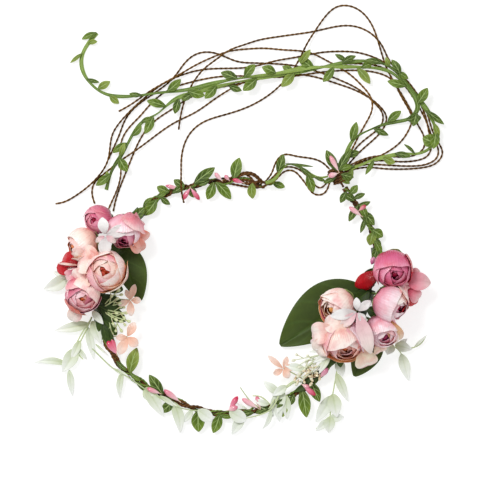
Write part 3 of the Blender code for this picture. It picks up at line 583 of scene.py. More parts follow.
RIBBONS = {
    "leaf_ribbon_short": [
        (76, 80.3), (85, 83.5), (93, 86.5), (101, 88.5), (111, 90.5), (121, 90.5), (129.5, 94.5),
        (133, 101),
        (131.5, 110), (127.5, 118), (121, 126.5), (113, 137), (104, 146), (95, 149.8), (82, 150.5),
        (68, 148.5), (54, 145.3), (38, 142.3), (20, 139.5), (2, 136.5), (-14, 132.5), (-29, 128.5),
        (-39, 124), (-48, 116.5), (-57, 111.5), (-63, 104.5), (-67.5, 96), (-72, 88), (-77, 80),
        (-79.5, 73), (-81, 67),
    ],
    "leaf_ribbon_long": [
        (72.5, 83), (75, 91), (80, 100), (88, 105), (98, 109), (108, 111.3), (117, 114), (121, 120),
        (118.5, 128), (112, 136), (104, 143), (94, 146), (80, 146.8), (64, 146.5), (50, 146),
        (36, 143.5), (20, 141), (4, 139), (-12, 136), (-28, 132), (-44, 130.3), (-58, 128.3),
        (-72, 127.7), (-83, 130), (-91.5, 136.5), (-96.5, 145), (-97, 153), (-93.5, 161),
        (-87, 169),
    ],
}
# The cords that bridge the gap at the back, from the hoop's left end to the knot.
BRIDGES = {
    "bridge_cord_low": [
        (22, 69.5), (29, 73.5), (35, 79), (40, 79.5), (45, 75.5), (49.5, 69.5), (55, 64),
        (60, 64.5),
        (64, 71.5),
    ],
    "bridge_cord_middle": [
        (22.3, 70.8), (28, 76), (34, 81.3), (41, 81.5), (48, 77.5), (53, 71.8), (57.5, 68.3),
        (63.5, 73.5),
    ],
    "bridge_cord_high": [
        (22, 72), (26, 77), (29, 84.5), (34, 89.8), (42, 89), (52, 87.5), (59, 85), (64, 80.5),
    ],
    "bridge_ribbon": [
        (22.5, 71.3), (27, 73), (31.5, 78), (37, 83.5), (45, 81.5), (52, 77), (58, 75), (63, 75.8),
    ],
}
VINE_HEIGHT, VINE_RADIUS = 2.4, 2.6
TRIM_HEIGHT = 5.8
TRIM_GAP = 0.5  # from the trim's middle up to the cords that cross the hoop
CORD_RADIUS, RIBBON_RADIUS = 0.7, 0.9
CORD_GAP, CORD_HUMP = 0.6, 18.0
ROUTE_STEP = 1.5

hoop_flat = smooth(HOOP, 1.0)
hoop_line = np.column_stack([hoop_flat, np.full(len(hoop_flat), VINE_HEIGHT)])
routes = {**BRIDGES, **CORDS, **RIBBONS}
flat_lines = [smooth(route, ROUTE_STEP) for route in routes.values()]
cord_radii = [RIBBON_RADIUS if "ribbon" in name else CORD_RADIUS for name in routes]
laid = settle(
    flat_lines, cord_radii, respaced(hoop_flat, 2.0), TRIM_HEIGHT + TRIM_GAP - VINE_RADIUS,
    VINE_RADIUS,
    CORD_GAP, CORD_HUMP,
)
paths, lengths = {}, {}
for name, flat, height in zip(routes, flat_lines, laid):
    paths[name] = np.column_stack([flat, height])
    lengths[name] = float(np.linalg.norm(np.diff(paths[name], axis=0), axis=1).sum())
    print(name, round(lengths[name]), "mm long, highest", round(float(height.max()), 1))

# %% [markdown]
# ## The paper cords
#
# Each tie is two strips of kraft paper twisted together. Its cross-section is two circles side by
# side, which turn as they go along, so the rod's outline is |cos| of the angle less the twist. The
# grooves are painted darker, as painted shade, because little light reaches them, and the plies'
# crowns lighter, as a painted highlight.

# %% Two-ply paper cords
PLY_PITCH = 6.4  # one full turn of the twist in millimetres, as coarse as it needs to show
# From dark to light: painted shade in the grooves between the plies to a painted highlight on their
# crowns, over the kraft brown.
CORD_BROWNS_SHADED = ("#1e1003", "#53340f", "#8f6424")
GROOVE = 0.62  # the radius in a groove between the plies, as a share of the full one


def twisted_rod(
    batch, path, radius, pitch, shaded_colours, sides, step, tint=1.0, groove=GROOVE, up=(0, 0, 1),
):
    """A two-ply rod: r(a, s) = radius (groove + (1 - groove) |cos(a - 2 pi s / pitch)|)."""
    fine = respaced(path, step)
    s = np.arange(len(fine)) * step
    angle = np.arange(sides) * 2 * math.pi / sides
    ply = np.abs(np.cos(angle - (2 * math.pi * s / pitch)[:, None]))
    # Painted shade in the grooves, where ply is near 0, and a painted highlight on the plies'
    # crowns, where it is near 1.
    paint = between(ply, *shaded_colours) * tint
    add_rod(batch, fine * MM, radius * MM, paint, sides, groove + (1 - groove) * ply, up)


for name in [*CORDS, "bridge_cord_low", "bridge_cord_middle", "bridge_cord_high"]:
    batch = new_batch()
    shade = chance.uniform(0.68, 1.0)
    twisted_rod(batch, paths[name], 0.98 * CORD_RADIUS, PLY_PITCH, CORD_BROWNS_SHADED, 10, 0.45, shade)
    piece = make_piece(name + "_twist", batch, kraft, stands_for=[name], sharp=ROUND)

# %% [markdown]
# ## The leaf ribbons
#
# A leaf ribbon is a flat green braid with pressed leaves along both edges. It turns over here and
# there, so from above it looks wide, then narrow. The leaves are laid where the hand that spread
# them left them: each has the places of its two ends, and the end nearer to a ribbon is its foot.

# %% Braids and leaves
RIBBON_LEAVES = [  # the two ends, half the width, and the green
    ((-96.9, 164.8), (-85.6, 169.2), 2.0, 1), ((-91.6, 162), (-86.7, 163.4), 1.7, 2),
    ((-104.4, 149.4), (-96.6, 155.8), 1.3, 2),
    ((-93.6, 139.1), (-85.5, 136.9), 1.4, 0), ((-86.5, 132.6), (-78.4, 137.4), 2.5, 2),
    ((-78.9, 128), (-72.8, 123.1), 2.2, 2),
    ((-65.9, 129.3), (-57.6, 128.3), 1.7, 0), ((-41, 132), (-32.5, 138.7), 2.8, 1),
    ((-54.6, 124.8), (-42.3, 120.3), 2.8, 1),
    ((-58.5, 111.2), (-50.7, 113.8), 1.9, 1), ((-55.9, 103.4), (-50.7, 113.8), 2.9, 1),
    ((-63.1, 102.1), (-58.1, 108.6), 2.3, 1),
    ((-36.4, 116.4), (-33.8, 126.1), 2.5, 0), ((-28, 131.3), (-17, 128.1), 3.0, 1),
    ((-16.9, 126.3), (-9.4, 134.6), 3.0, 1),
    ((-6.5, 143), (4.3, 138.9), 3.0, 0), ((-0.7, 132), (7, 131.3), 2.2, 0),
    ((8.5, 141.4), (15.6, 148.1), 3.0, 1),
    ((7.8, 131.3), (16.8, 139), 3.3, 1), ((-76.7, 91), (-67.6, 97.5), 2.3, 1),
    ((-72.2, 89.7), (-68.9, 97.2), 1.9, 2),
    ((-73.5, 88.4), (-67, 78.8), 3.1, 1), ((-87.6, 69.8), (-79.3, 77.8), 2.6, 1),
    ((20.2, 146.4), (29, 142.6), 3.0, 1),
    ((43.5, 152.4), (54, 145), 3.0, 1), ((44.5, 151), (51.5, 157.7), 2.2, 2),
    ((32.8, 133.8), (41.8, 140.8), 3.1, 2),
    ((33.4, 147), (41, 143), 2.4, 1), ((67.5, 154.8), (75, 150.4), 1.7, 0),
    ((71.5, 150.2), (81, 153.8), 2.0, 0),
    ((59.7, 136.9), (66.2, 145.6), 2.6, 1), ((82.4, 143.6), (90.3, 135.8), 2.8, 2),
    ((86.7, 151), (99, 148.8), 2.0, 0),
    ((100.3, 153), (104.5, 149), 1.6, 2), ((104.3, 151.4), (111.6, 143.4), 2.5, 0),
    ((101.4, 137.4), (112.4, 132.8), 2.7, 1),
    ((120, 122), (127.4, 132.9), 3.2, 1), ((126.2, 118.4), (138, 109.4), 2.1, 0),
    ((115, 111.6), (123.4, 114), 3.2, 0),
    ((118, 108.2), (120.4, 117), 2.8, 0), ((101.6, 110.8), (110.4, 118.2), 2.6, 1),
    ((93, 104.6), (102.2, 102.4), 2.0, 0),
    ((76, 100.2), (81.4, 111), 2.7, 1), ((124.4, 100.8), (135.4, 96.4), 4.3, 1),
    ((133, 105), (131.2, 93.6), 3.2, 1),
    ((129.8, 110.6), (134.8, 100.8), 2.0, 2), ((112.2, 96.6), (119.8, 89.4), 1.1, 0),
    ((106.2, 90.6), (116.6, 88.6), 2.1, 0),
    ((98.8, 86.4), (106.4, 84.4), 2.5, 2), ((87.2, 76.8), (93.8, 84.2), 1.6, 1),
    ((73.8, 89.2), (83, 91.8), 2.5, 0),
    ((74.2, 70.8), (79.4, 78.8), 2.1, 2), ((70.2, 81.4), (80.8, 80.6), 1.8, 0),
    ((-25, 129.5), (-32, 125), 2.2, 0),
    ((50.5, 144), (43, 146.5), 2.4, 1), ((92, 149), (84.5, 146), 2.2, 1),
    ((115, 139), (108, 143.5), 2.0, 1), ((-80.5, 79), (-77.5, 70.5), 1.8, 2),
]


def flat_ribbon(batch, path, width, phase):
    """A flat braid: a rod whose ring is an ellipse 0.44 mm thick that turns and breathes.

    At s along it, it is turned by 0.9 sin(s / 17 + phase) ** 3, nearly flat with quick rolls. Its
    green is 0.5 + 0.35 sin(s / 31 + phase) + 0.1 cos(lean) of the way from dark to light.
    """
    step, sides, half_thick = 0.8, 10, 0.22
    fine = respaced(path, step)
    s = np.arange(len(fine)) * step
    breathe = width * (0.76 + 0.16 * np.sin(s / 13 + phase) + 0.12 * np.sin(s / 4.7 + 2 * phase))
    turn = 0.9 * np.sin(s / 17 + phase) ** 3
    angle = np.arange(sides) * 2 * math.pi / sides
    x, y = np.cos(angle) * breathe[:, None] / 2, np.sin(angle) * half_thick
    ahead, side, top = frames(fine)
    wide = np.cos(turn)[:, None] * side + np.sin(turn)[:, None] * top
    thick = np.cross(wide, ahead)
    rings = fine[:, None] + x[..., None] * wide[:, None] + y[:, None] * thick[:, None]
    spokes = rings - fine[:, None]
    lean = np.arctan2(*(np.einsum("rsk,rk->rs", spokes, way) for way in (top, side)))
    # The 0.1 cos(lean) term is painted light: the green shifts with how far the braid is rolled
    # over.
    tone = 0.5 + 0.35 * np.sin(s / 31 + phase) + 0.1 * np.cos(lean.mean(axis=1))
    paint = between(tone, "#40591a", "#69852f", "#8fa64c")[:, None]
    place = np.zeros(rings.shape)
    place[..., 0] = 0.9 * np.cos(angle)
    place[..., 1] = s[:, None] / 40
    add_rings(batch, fine * MM, rings * MM, np.broadcast_to(paint, rings.shape), place)


GREENS = [
    ("#202f06", "#40560f", "#697f28"), ("#2c3f09", "#566f17", "#839a37"),
    ("#455a16", "#77892f", "#a8b75f"),
]


def green_leaf(batch, base, tip, half, tone, **shape):
    """A pressed cloth leaf: dark at its foot, lighter to its tip and its edges."""
    grid, across, along = leaf_grid(base, tip, half, **shape)
    dark, middle, light = GREENS[tone]
    shade = 0.15 + 0.55 * along + 0.25 * np.abs(across) ** 2
    front = between(shade, dark, middle, light)
    back = between(shade * 0.5 + 0.45, dark, middle, light)
    add_shell(batch, grid, 0.35 * MM, front, back, across, along)


# %% The leaves' places on the ribbons
FOOT_REACH = 2.5  # how far a leaf's foot may be pulled to its ribbon, in millimetres
ribbon_leaves = {name: new_batch() for name in RIBBONS}
for *ends, half, tone in RIBBON_LEAVES:
    near = [
        (float(apart.min()), name, int(apart.argmin()), k)
        for name in RIBBONS
        for k, end in enumerate(ends)
        for apart in [np.linalg.norm(paths[name][:, :2] - end, axis=1)]
    ]
    reach, name, i, k = min(near)
    *spot, height = paths[name][i]
    base = np.array([*ends[k], height + 0.6])
    tip = np.array([*ends[1 - k], max(height + chance.uniform(-0.6, 1.8), 1.0)])
    if reach > 1.0:
        base[:2] += (spot - base[:2]) * min(1.0, FOOT_REACH / reach)
    green_leaf(
        ribbon_leaves[name], base, tip, half, tone, arch=chance.uniform(0.5, 1.3),
        fold=chance.uniform(0.05, 0.35), blunt=0.8, sway=chance.uniform(-0.5, 0.5),
    )
print("leaves on the ribbons:", len(RIBBON_LEAVES))

# %% The ribbons, each with its leaves
BRIDGE_LEAVES = [
    ((27, 71.5, 3), (35, 68.8, 2.5), 2.3, 1), ((30.5, 77.5, 4), (34, 90, 5.5), 2.8, 0),
    ((35, 84, 6), (53.5, 82, 5), 0.9, 0),
    ((49.5, 77, 6), (53.5, 65.5, 4), 2.9, 1), ((44, 82, 6), (54, 74.5, 6), 1.6, 0),
    ((54, 75, 6), (61.5, 72.5, 5), 1.2, 0),
]
ribbon_leaves["bridge_ribbon"] = new_batch()
for base, tip, half, tone in BRIDGE_LEAVES:
    green_leaf(ribbon_leaves["bridge_ribbon"], base, tip, half, tone, arch=0.8, fold=0.2)
for name, width, phase, far_end in [
    ("leaf_ribbon_short", 3.2, 1.0, "bare"), ("leaf_ribbon_long", 3.2, 2.7, "bare"),
    ("bridge_ribbon", 2.4, 0.4, "object"),
]:
    batch = new_batch()
    flat_ribbon(batch, paths[name], width, phase)
    ribbon = make_piece(name + "_braid", batch, trim_leaf, stands_for=[name])
    leaves = make_piece(name + "_leaves", ribbon_leaves[name], trim_leaf)

# %% [markdown]
# ## The vine round the hoop
#
# The hoop is not one rope but several thin strands wound loosely together: brown paper, green
# stem and a dark wire. Each strand is a helix about the hoop's line, at its own pitch, and it
# wanders a little. At the left end, strands bend back into loops, which the ties pass through.

# %% The wound hoop


def wound(line, radius, pitch, phase, wander=0.25):
    """A wandering helix: line + r (side cos a + top sin a), a = 2 pi s / pitch + phase and more."""
    step = 0.8
    fine = respaced(line, step)
    s = np.arange(len(fine)) * step
    ahead, side, top = frames(fine)
    a = 2 * math.pi * s / pitch + phase + 0.5 * np.sin(s / 19 + phase)
    r = radius * (1 + wander * np.sin(s / 11 + 3 * phase))
    return fine + (r * np.cos(a))[:, None] * side + (r * np.sin(a))[:, None] * top


STRANDS = [  # helix radius, pitch, phase, strand radius, kind
    (1.1, 21, 0.0, 1.15, "brown"), (1.1, 21, 3.14, 1.1, "brown"), (1.7, 33, 1.3, 0.6, "dark"),
    (1.8, 27, 4.2, 0.8, "green"), (1.8, 45, 2.4, 0.65, "green"),
]
VINE_PITCH = 5.2
# Each strand's colours, as for the cords: painted shade in the grooves to a painted highlight on the
# crowns.
PLY_COLOURS = {
    "brown": ("#140a03", "#4b2c11", "#7a5126"), "dark": ("#100903", "#2d1b0c", "#4c321b"),
    "green": ("#2f4214", "#587228", "#86a04c"),
}
LOOPS = [
    [(-4, 73, 3), (3, 76, 4), (10, 78.3, 4.5), (16, 76.6, 4.5), (21, 72, 3.5), (24, 70.5, 3)],
    [(-2, 72, 3.6), (4, 75, 5), (11, 77.2, 5.6), (16.5, 75, 5), (20, 70.8, 4)],
    [(-6, 72, 2.5), (2, 70.5, 2.2), (10, 69, 2.2), (18, 68.6, 2.4), (23, 70, 3)],
    [(9, 77.6, 3.2), (14, 73.5, 4.2), (17, 69.5, 3.2), (22, 68.6, 2.6)],
]


def vine_rod(batch, line, radius, kind="brown", **more):
    """One twisted strand of vine."""
    twisted_rod(batch, line, radius, VINE_PITCH, PLY_COLOURS[kind], 8, 0.6, **more)


batch = new_batch()
for radius, pitch, phase, thick, kind in STRANDS:
    vine_rod(batch, wound(hoop_line, radius, pitch, phase), thick, kind)
for loop in LOOPS:
    vine_rod(batch, smooth(loop, 0.6), 0.85)
make_piece("wound_vine", batch, kraft, stands_for=["vine_wrap", "hoop_wire"], sharp=ROUND)

# %% [markdown]
# ## The knot
#
# Cords wound six times round the hoop's right end and pulled tight: a helix with a short pitch,
# with its ends tucked under.

# %% The knot's turns
KNOT = np.array([69.0, 76.5, 5.4])
KNOT_AXIS = (-0.45, 0.9, 0.05)
TURNS, TURN_PITCH = 6, 1.7
STUBS = [  # the ends that pass over the turns
    [(66, 86, 4), (66.5, 82, 6), (68.5, 77.5, 8), (70.5, 73, 6), (73, 69, 3)],
    [(69.5, 84, 4.5), (69.5, 80, 7), (70, 75.5, 8.2), (72, 70.5, 5)],
    [(63, 77, 3), (66, 76, 7), (70, 76, 9), (74.5, 78.5, 6), (76, 80, 3)],
    [(64, 72, 2.5), (66.5, 73.5, 6), (70, 75, 9), (73.5, 78, 7), (75.5, 82, 3.5)],
]


def coil(centre, axis, radius, pitch, count):
    """centre + axis pitch count (t - 1/2) + radius (first cos + second sin) of 2 pi count t."""
    axis = unit(axis)
    first = unit(np.cross(axis, (0, 0, 1)))
    second = np.cross(first, axis)
    t = np.linspace(0, 1, 40 * count)[:, None]
    angle = 2 * math.pi * count * t
    around = first * np.cos(angle) + second * np.sin(angle)
    return centre + axis * (t - 0.5) * pitch * count + radius * around


batch = new_batch()
for radius, shift in ((4.3, (0, 0, 0)), (3.4, (0.9, 0, 0.6))):
    line = coil(KNOT + shift, KNOT_AXIS, radius, TURN_PITCH, TURNS)
    line[:, 2] = np.maximum(line[:, 2], 0.9)
    vine_rod(batch, line, 0.85, groove=0.65, up=KNOT_AXIS)
for stub in STUBS:
    vine_rod(batch, smooth(stub, 0.6), 0.8)
make_piece("closure_knot_turns", batch, kraft, stands_for=["closure_knot"], sharp=ROUND)

# %% [markdown]
# ## Leaf trims along the hoop
#
# Lengths of the same trim are bound along the hoop, and only their pressed leaves show. Each leaf
# has its foot, its tip, half its width and its green, so it lies where the real one does.

# %% Leaves along the hoop
TRIM_LEAVES = {
    "leaf_trim_back": [
        ((14, 71.5, 5), (14, 61.3, 2.5), 2.9, 2), ((2, 73.5, 5.5), (5.5, 87.8, 4), 3.7, 1),
        ((-10, 72, 5.5), (0, 61, 3), 3.3, 1),
        ((-11, 72, 5.5), (-15.3, 60.8, 3), 3.2, 1), ((-24, 71, 5.5), (-10.5, 81.4, 4.5), 3.4, 0),
        ((-40, 65.5, 5.2), (-48, 69, 3.5), 2.8, 1),
        ((-46, 63, 5), (-39.5, 57.5, 3), 1.9, 0), ((-48, 61, 5), (-56.5, 50.3, 3.5), 3.4, 1),
        ((-30, 68, 6), (-37, 73.5, 5), 2.6, 0),
        ((-14, 73, 4.5), (-21, 70, 4.4), 1.6, 0), ((-26, 69, 5), (-24, 62, 3.5), 2.8, 0),
        ((-49, 62, 4.5), (-41, 66.5, 4.5), 1.6, 1), ((-57, 56, 4.5), (-51, 62, 4.2), 1.5, 1),
        ((-38, 65, 5.5), (-30, 70.5, 6.5), 2.2, 0),
        ((22, 71, 4), (29, 73, 4.5), 1.8, 1), ((-64, 47, 8), (-56, 55.5, 8), 3.2, 0),
    ],
    "leaf_trim_front": [
        ((-65.5, -52, 5), (-61, -35.5, 5), 4.0, 2), ((-44, -66, 5), (-53, -53, 5), 3.4, 0),
        ((-37, -70, 4.5), (-45, -77.5, 3), 3.2, 0),
        ((-21, -75.5, 4.5), (-21, -90, 3.5), 4.4, 1), ((-7, -78, 4), (-11.5, -90.8, 3), 3.4, 1),
        ((-24, -75.5, 4), (-12, -80.5, 3.4), 2.2, 0),
        ((-62, -57, 4), (-54, -64.5, 3.4), 1.6, 0), ((-74.5, -44, 4), (-67.5, -50.5, 5.2), 1.5, 0),
        ((-66, -51, 4.5), (-58.5, -57, 4.6), 1.5, 1),
        ((15, -77.5, 5), (5, -79.5, 4.5), 2.2, 0), ((26, -74, 5), (16, -78, 4.5), 2.2, 0),
        ((-8, -79, 4.5), (1, -80.5, 4), 1.6, 1), ((-84, -18, 5.8), (-81.5, -29, 6.2), 1.8, 0),
        ((-83, -23, 5.4), (-79.5, -35, 5.6), 1.8, 1),
    ],
    "leaf_trim_front_right": [
        ((46, -62, 5.6), (49, -80.5, 6.0), 4.0, 1), ((52, -57.5, 6.2), (57.5, -70.3, 7.2), 3.3, 0),
        ((37, -68, 5), (33.5, -80.5, 3.5), 2.4, 2),
        ((36, -68, 5.2), (27, -74, 5), 2.2, 0), ((41, -65.5, 5), (39, -72.5, 4), 2.2, 0),
        ((58, -53, 5), (50, -60.5, 5), 2.2, 0),
    ],
    "leaf_trim_right": [
        ((92, 39.5, 5.2), (90, 31, 4.5), 3.2, 2), ((91.5, 41, 5.2), (98.5, 36.5, 4.2), 3.2, 1),
        ((87, 49, 5), (84, 39, 4), 1.6, 0),
        ((82.5, 57, 5.2), (76.5, 46.5, 4), 2.4, 0), ((82, 57, 5.2), (90.5, 59.3, 4), 1.7, 0),
        ((85, 53, 5), (93, 44, 5), 3.0, 0),
        ((80, 60, 5.5), (73, 63.5, 5.5), 2.2, 0), ((77, 64, 5.5), (82, 70, 5), 2.4, 1),
        ((75, 66, 6), (71, 58.5, 5), 2.2, 0),
        ((95, 31, 8), (91.5, 22, 8.2), 2.4, 0), ((93, 34, 8), (97.5, 25.5, 8), 2.2, 1),
        ((88, 48, 5.2), (84, 57.5, 5.5), 2.3, 1), ((79, 61, 5.5), (87, 64.5, 5), 1.8, 0),
        ((93, 36, 5), (97, 29, 5.3), 1.9, 0),
    ],
    "leaf_trim_knot": [
        ((69, 79, 10.5), (61.8, 92.5, 8), 3.2, 0), ((69, 78, 10), (78, 93.5, 8.5), 2.6, 0),
        ((70, 80, 10), (78, 82, 8.5), 2.0, 1),
        ((68, 75, 10.5), (60, 71.5, 7), 1.8, 0), ((70, 74, 9.5), (77, 71, 7), 1.9, 1),
        ((71, 77, 10), (79.5, 75, 7.5), 2.2, 0),
    ],
}
for name, leaves in TRIM_LEAVES.items():
    batch = new_batch()
    for base, tip, half, tone in leaves:
        green_leaf(
            batch, base, tip, half, tone, arch=chance.uniform(0.4, 1.2),
            fold=chance.uniform(0.1, 0.35), blunt=0.8,
            sway=chance.uniform(-0.6, 0.6),
        )
    make_piece(name + "_leaves", batch, trim_leaf, stands_for=[name])

# %% [markdown]
# ## Pips
#
# Between the leaves stand pips: little foam buds dipped in lacquer, pale at the foot and deep pink
# at the top, each on a thread. A bud is a rod whose radius swells past its middle.

# %% Pips


def pip(batch, foot, top, radius, foot_colour, top_colour):
    """A foam bud on its thread: r(t) = radius sin(pi t ** 1.4) ** 0.62, widest past its middle."""
    foot, top = np.array(foot, float), np.array(top, float)
    t = np.linspace(0.004, 0.996, 14)
    line = foot + (top - foot) * t[:, None]
    r = radius * np.sin(math.pi * t**1.4) ** 0.62
    paint = between(np.clip(t * 1.25 - 0.1, 0, 1), foot_colour, top_colour)
    add_rod(batch, line * MM, np.maximum(r, 0.12) * MM, paint, 12)
    thread = np.array([foot - (top - foot) * 0.12, foot, foot + (top - foot) * 0.1])
    add_rod(batch, thread * MM, 0.3 * MM, linear("#d8b9a0"), 6)


# Colours at the foot and at the top.
HOT, ROSE, SHELL = ("#f2a3bb", "#cf1f50"), ("#f6cfd2", "#df7892"), ("#fadcdc", "#ea9bab")
PIP_PLACES = {
    "pips_back_left": [
        ((-26.5, 68, 6), (-31.5, 60.3, 5), 1.7, HOT), ((-26, 68, 6.5), (-20.3, 60.3, 5), 1.6, HOT),
        ((-33, 67.5, 6), (-42.5, 69.8, 5.5), 1.4, ROSE),
        ((-60, 47.5, 8), (-57.5, 44, 9), 1.5, ("#e79fc0", "#c9418a")),
    ],
    "pips_back_middle": [
        ((-6, 73, 6), (-10.5, 78, 6), 1.5, SHELL), ((-1, 73, 6.5), (-4, 76.5, 7), 1.4, ROSE),
        ((8, 71.5, 6), (1, 73.8, 7), 1.5, HOT),
    ],
    "pips_left": [
        ((-74, -39.5, 7), (-80.5, -30.5, 7.5), 2.1, HOT),
        ((-74, -39, 7.5), (-77.5, -28, 7), 1.5, HOT), ((-84, 13, 7), (-84, 13.5, 7.5), 0.5, ROSE),
    ],
    "pips_front_left": [
        ((-33.5, -70, 6.5), (-43.5, -62.5, 6.5), 1.9, ROSE),
        ((-46, -65, 6.5), (-54.5, -61.5, 6.5), 1.7, ROSE),
    ],
    "pips_front_middle": [
        ((-1, -75, 6), (4.5, -66.8, 6), 1.9, HOT), ((-2, -76, 6.5), (4.5, -73.5, 7), 1.9, ROSE),
        ((17.5, -74.5, 6.5), (7, -68.3, 6.5), 1.9, SHELL),
        ((19, -74.5, 6.5), (16.5, -66.5, 6.5), 1.7, ROSE),
    ],
    "pips_front_right": [
        ((58, -54.5, 8.5), (62.5, -48, 9), 2.2, ("#e9b3c0", "#c96f92")),
        ((47, -60, 8.5), (55, -66.5, 7.5), 1.9, HOT), ((46, -59, 8.5), (51, -61.5, 8.5), 1.6, ROSE),
    ],
    "pips_right": [
        ((84.5, 50, 6.5), (76.5, 56, 6.5), 1.7, SHELL),
        ((83, 53.5, 6.5), (87.5, 57, 6.5), 1.5, ("#f4b6bd", "#c6304c")),
        ((93.5, 26, 7), (91, 18.5, 8), 1.7, ("#eab4c8", "#c0568c")),
        ((69.5, 79, 11.5), (64, 89, 12), 1.7, SHELL), ((69, 77.5, 12), (63, 75.5, 12), 1.8, SHELL),
    ],
}
for name, places in PIP_PLACES.items():
    batch = new_batch()
    for foot, top, radius, colours in places:
        pip(batch, foot, top, radius, *colours)
    make_piece(name + "_buds", batch, lacquer, stands_for=[name], sharp=ROUND)

# %% [markdown]
# ## Large leaves under the roses
#
# A broad leaf of dark pressed cloth backs each cluster. Its halves have different widths, so the
# grid's across runs from the left width to the right one. It is cupped, and its midrib shows.

# %% Large leaves
LARGE = {  # base, tip, width to the two sides, exponent that moves the widest place
    "large_leaf_left": ((-75.5, 33.0), (-58.5, -5.0), 12.8, 7.0, 0.85),
    "large_leaf_right_inner": ((88, 0), (32, -34), 13.0, 22.0, 0.8),
    "large_leaf_right_outer": ((91, -17.5), (80, -54), 13.4, 6.8, 1.0),
}
LEAF_LEVEL, LEAF_LOWEST = 3.0, 0.6
LEAF_FRONT, LEAF_BACK = ("#1a2a03", "#33450a", "#4c6016"), ("#4d6b3a", "#6f8f55", "#87a46c")

for name, (base, tip, left, right, widest) in LARGE.items():
    # Half width: left or right * sin(pi v ** widest) ** 0.75. The sides and the middle rise, and
    # the midrib sinks by half a millimetre.
    low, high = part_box(name)
    v = np.linspace(0, 1, 41)[:, None]
    u = np.linspace(-1, 1, 25)[None, :]
    inner = 0.03 + 0.96 * v
    half = np.where(u < 0, right, left) * np.sin(math.pi * inner**widest) ** 0.75
    base, ahead = np.array([*base, LEAF_LEVEL]), np.array([*np.subtract(tip, base), 0.0])
    side = unit(np.cross((0, 0, 1), ahead))
    grid = (base + ahead * v)[:, None] + (u * half)[..., None] * side
    cup = 0.9 * u**2 - 0.5 * np.exp(-((u / 0.05) ** 2)) + 4 * v * (1 - v) * (1 - u**2)
    ripple = 0.22 * np.sin(v * 15 - np.abs(u) * 4) * np.abs(u)
    grid[..., 2] = np.clip(grid[..., 2] + cup + ripple, LEAF_LOWEST, high.z / MM + 0.4)
    across, along = u + 0 * v, v + 0 * u
    shade = 0.35 + 0.3 * along + 0.25 * across**2
    front, back = between(shade, *LEAF_FRONT), between(shade, *LEAF_BACK)
    batch = new_batch()
    add_shell(batch, grid * MM, 0.6 * MM, front, back, across, along)
    make_piece(name + "_cloth", batch, dark_leaf, stands_for=[name])

# %% Small dark leaves, which fill the spaces under the roses, hide the tape and stand in for the shade there
UNDER_LEAVES = [  # foot, tip and half the width
    ((-86, -2, 8), (-69, -9, 5), 4.6), ((-86, -8, 8.5), (-68, -18, 5), 4.8),
    ((-86, -14, 8), (-74, -27, 5), 4.4), ((-83, -20, 7.5), (-76, -36, 6.0), 3.2),
    ((-85, -12, 8.5), (-85.5, -25, 7.5), 2.2), ((-76, 24, 7), (-68, 34, 6), 4.0),
    ((-83, 6, 8), (-70, 2, 5), 4.0), ((-83, -20, 8.5), (-80, -32, 7.0), 2.4),
    ((90, 2, 8), (81, -5, 7), 4.2), ((91, 3, 8), (84, 12, 7), 3.4), ((92, 16, 8), (86, 8, 6), 3.0),
    ((84, -14, 8), (76, -2, 7), 4.2),
    ((76, -32, 9), (64, -44, 8), 3.6), ((72, -36, 9), (60, -49, 8), 3.0),
    ((88, -10, 8), (97, -14, 7), 4.0), ((70, -38, 9), (71, -48, 8.5), 2.6),
    ((60, -50, 6), (46, -58.5, 6), 2.6), ((54, -57, 6), (41, -64, 5.6), 2.2),
]
batch = new_batch()
for base, tip, half in UNDER_LEAVES:
    grid, across, along = leaf_grid(base, tip, half, arch=1.2, fold=0.3, blunt=0.7)
    # Painted shade as well as leaf colour: the leaves are darkest at the foot, deep under the roses.
    front = between(0.2 + 0.6 * along, "#17260a", "#2c4010", "#4a611f")
    add_shell(batch, grid, 0.4 * MM, front, linear("#5d7c40"), across, along)
make_piece("under_leaves_and_shade", batch, dark_leaf)

# %% [markdown]
# ## The roses
#
# Each rose is a ball of cupped petals, like a cabbage. A petal is a patch of a sphere: its foot
# is at the back of the ball and its rim curves over towards the opening. Petals come in layers
# of three, each layer a little smaller and reaching nearer to the middle. Every petal leans over
# the middle by its own amount, so the rims cross in a spiral instead of in neat circles.

# %% Cupped petals
BACK = 160  # the polar angle of a petal's foot, in degrees
SQUASH = 0.94  # a rose's height as a share of its width
PETAL_THICKNESS = 0.4


def ball(node):
    """The centre and radius of the sphere that a rose's solid mostly is.

    The sphere is fitted by least squares three times, each time without the points farthest off.
    """
    points = np.array([v.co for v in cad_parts[node].data.vertices])
    for _ in range(3):
        table = np.column_stack([2 * points, np.ones(len(points))])
        found = np.linalg.lstsq(table, (points**2).sum(axis=1), rcond=None)[0]
        centre = found[:3]
        radius = math.sqrt(found[3] + centre @ centre)
        away = np.abs(np.linalg.norm(points - centre, axis=1) - radius)
        points = points[away <= max(np.quantile(away, 0.8), 1e-5)]
    return centre / MM, radius / MM


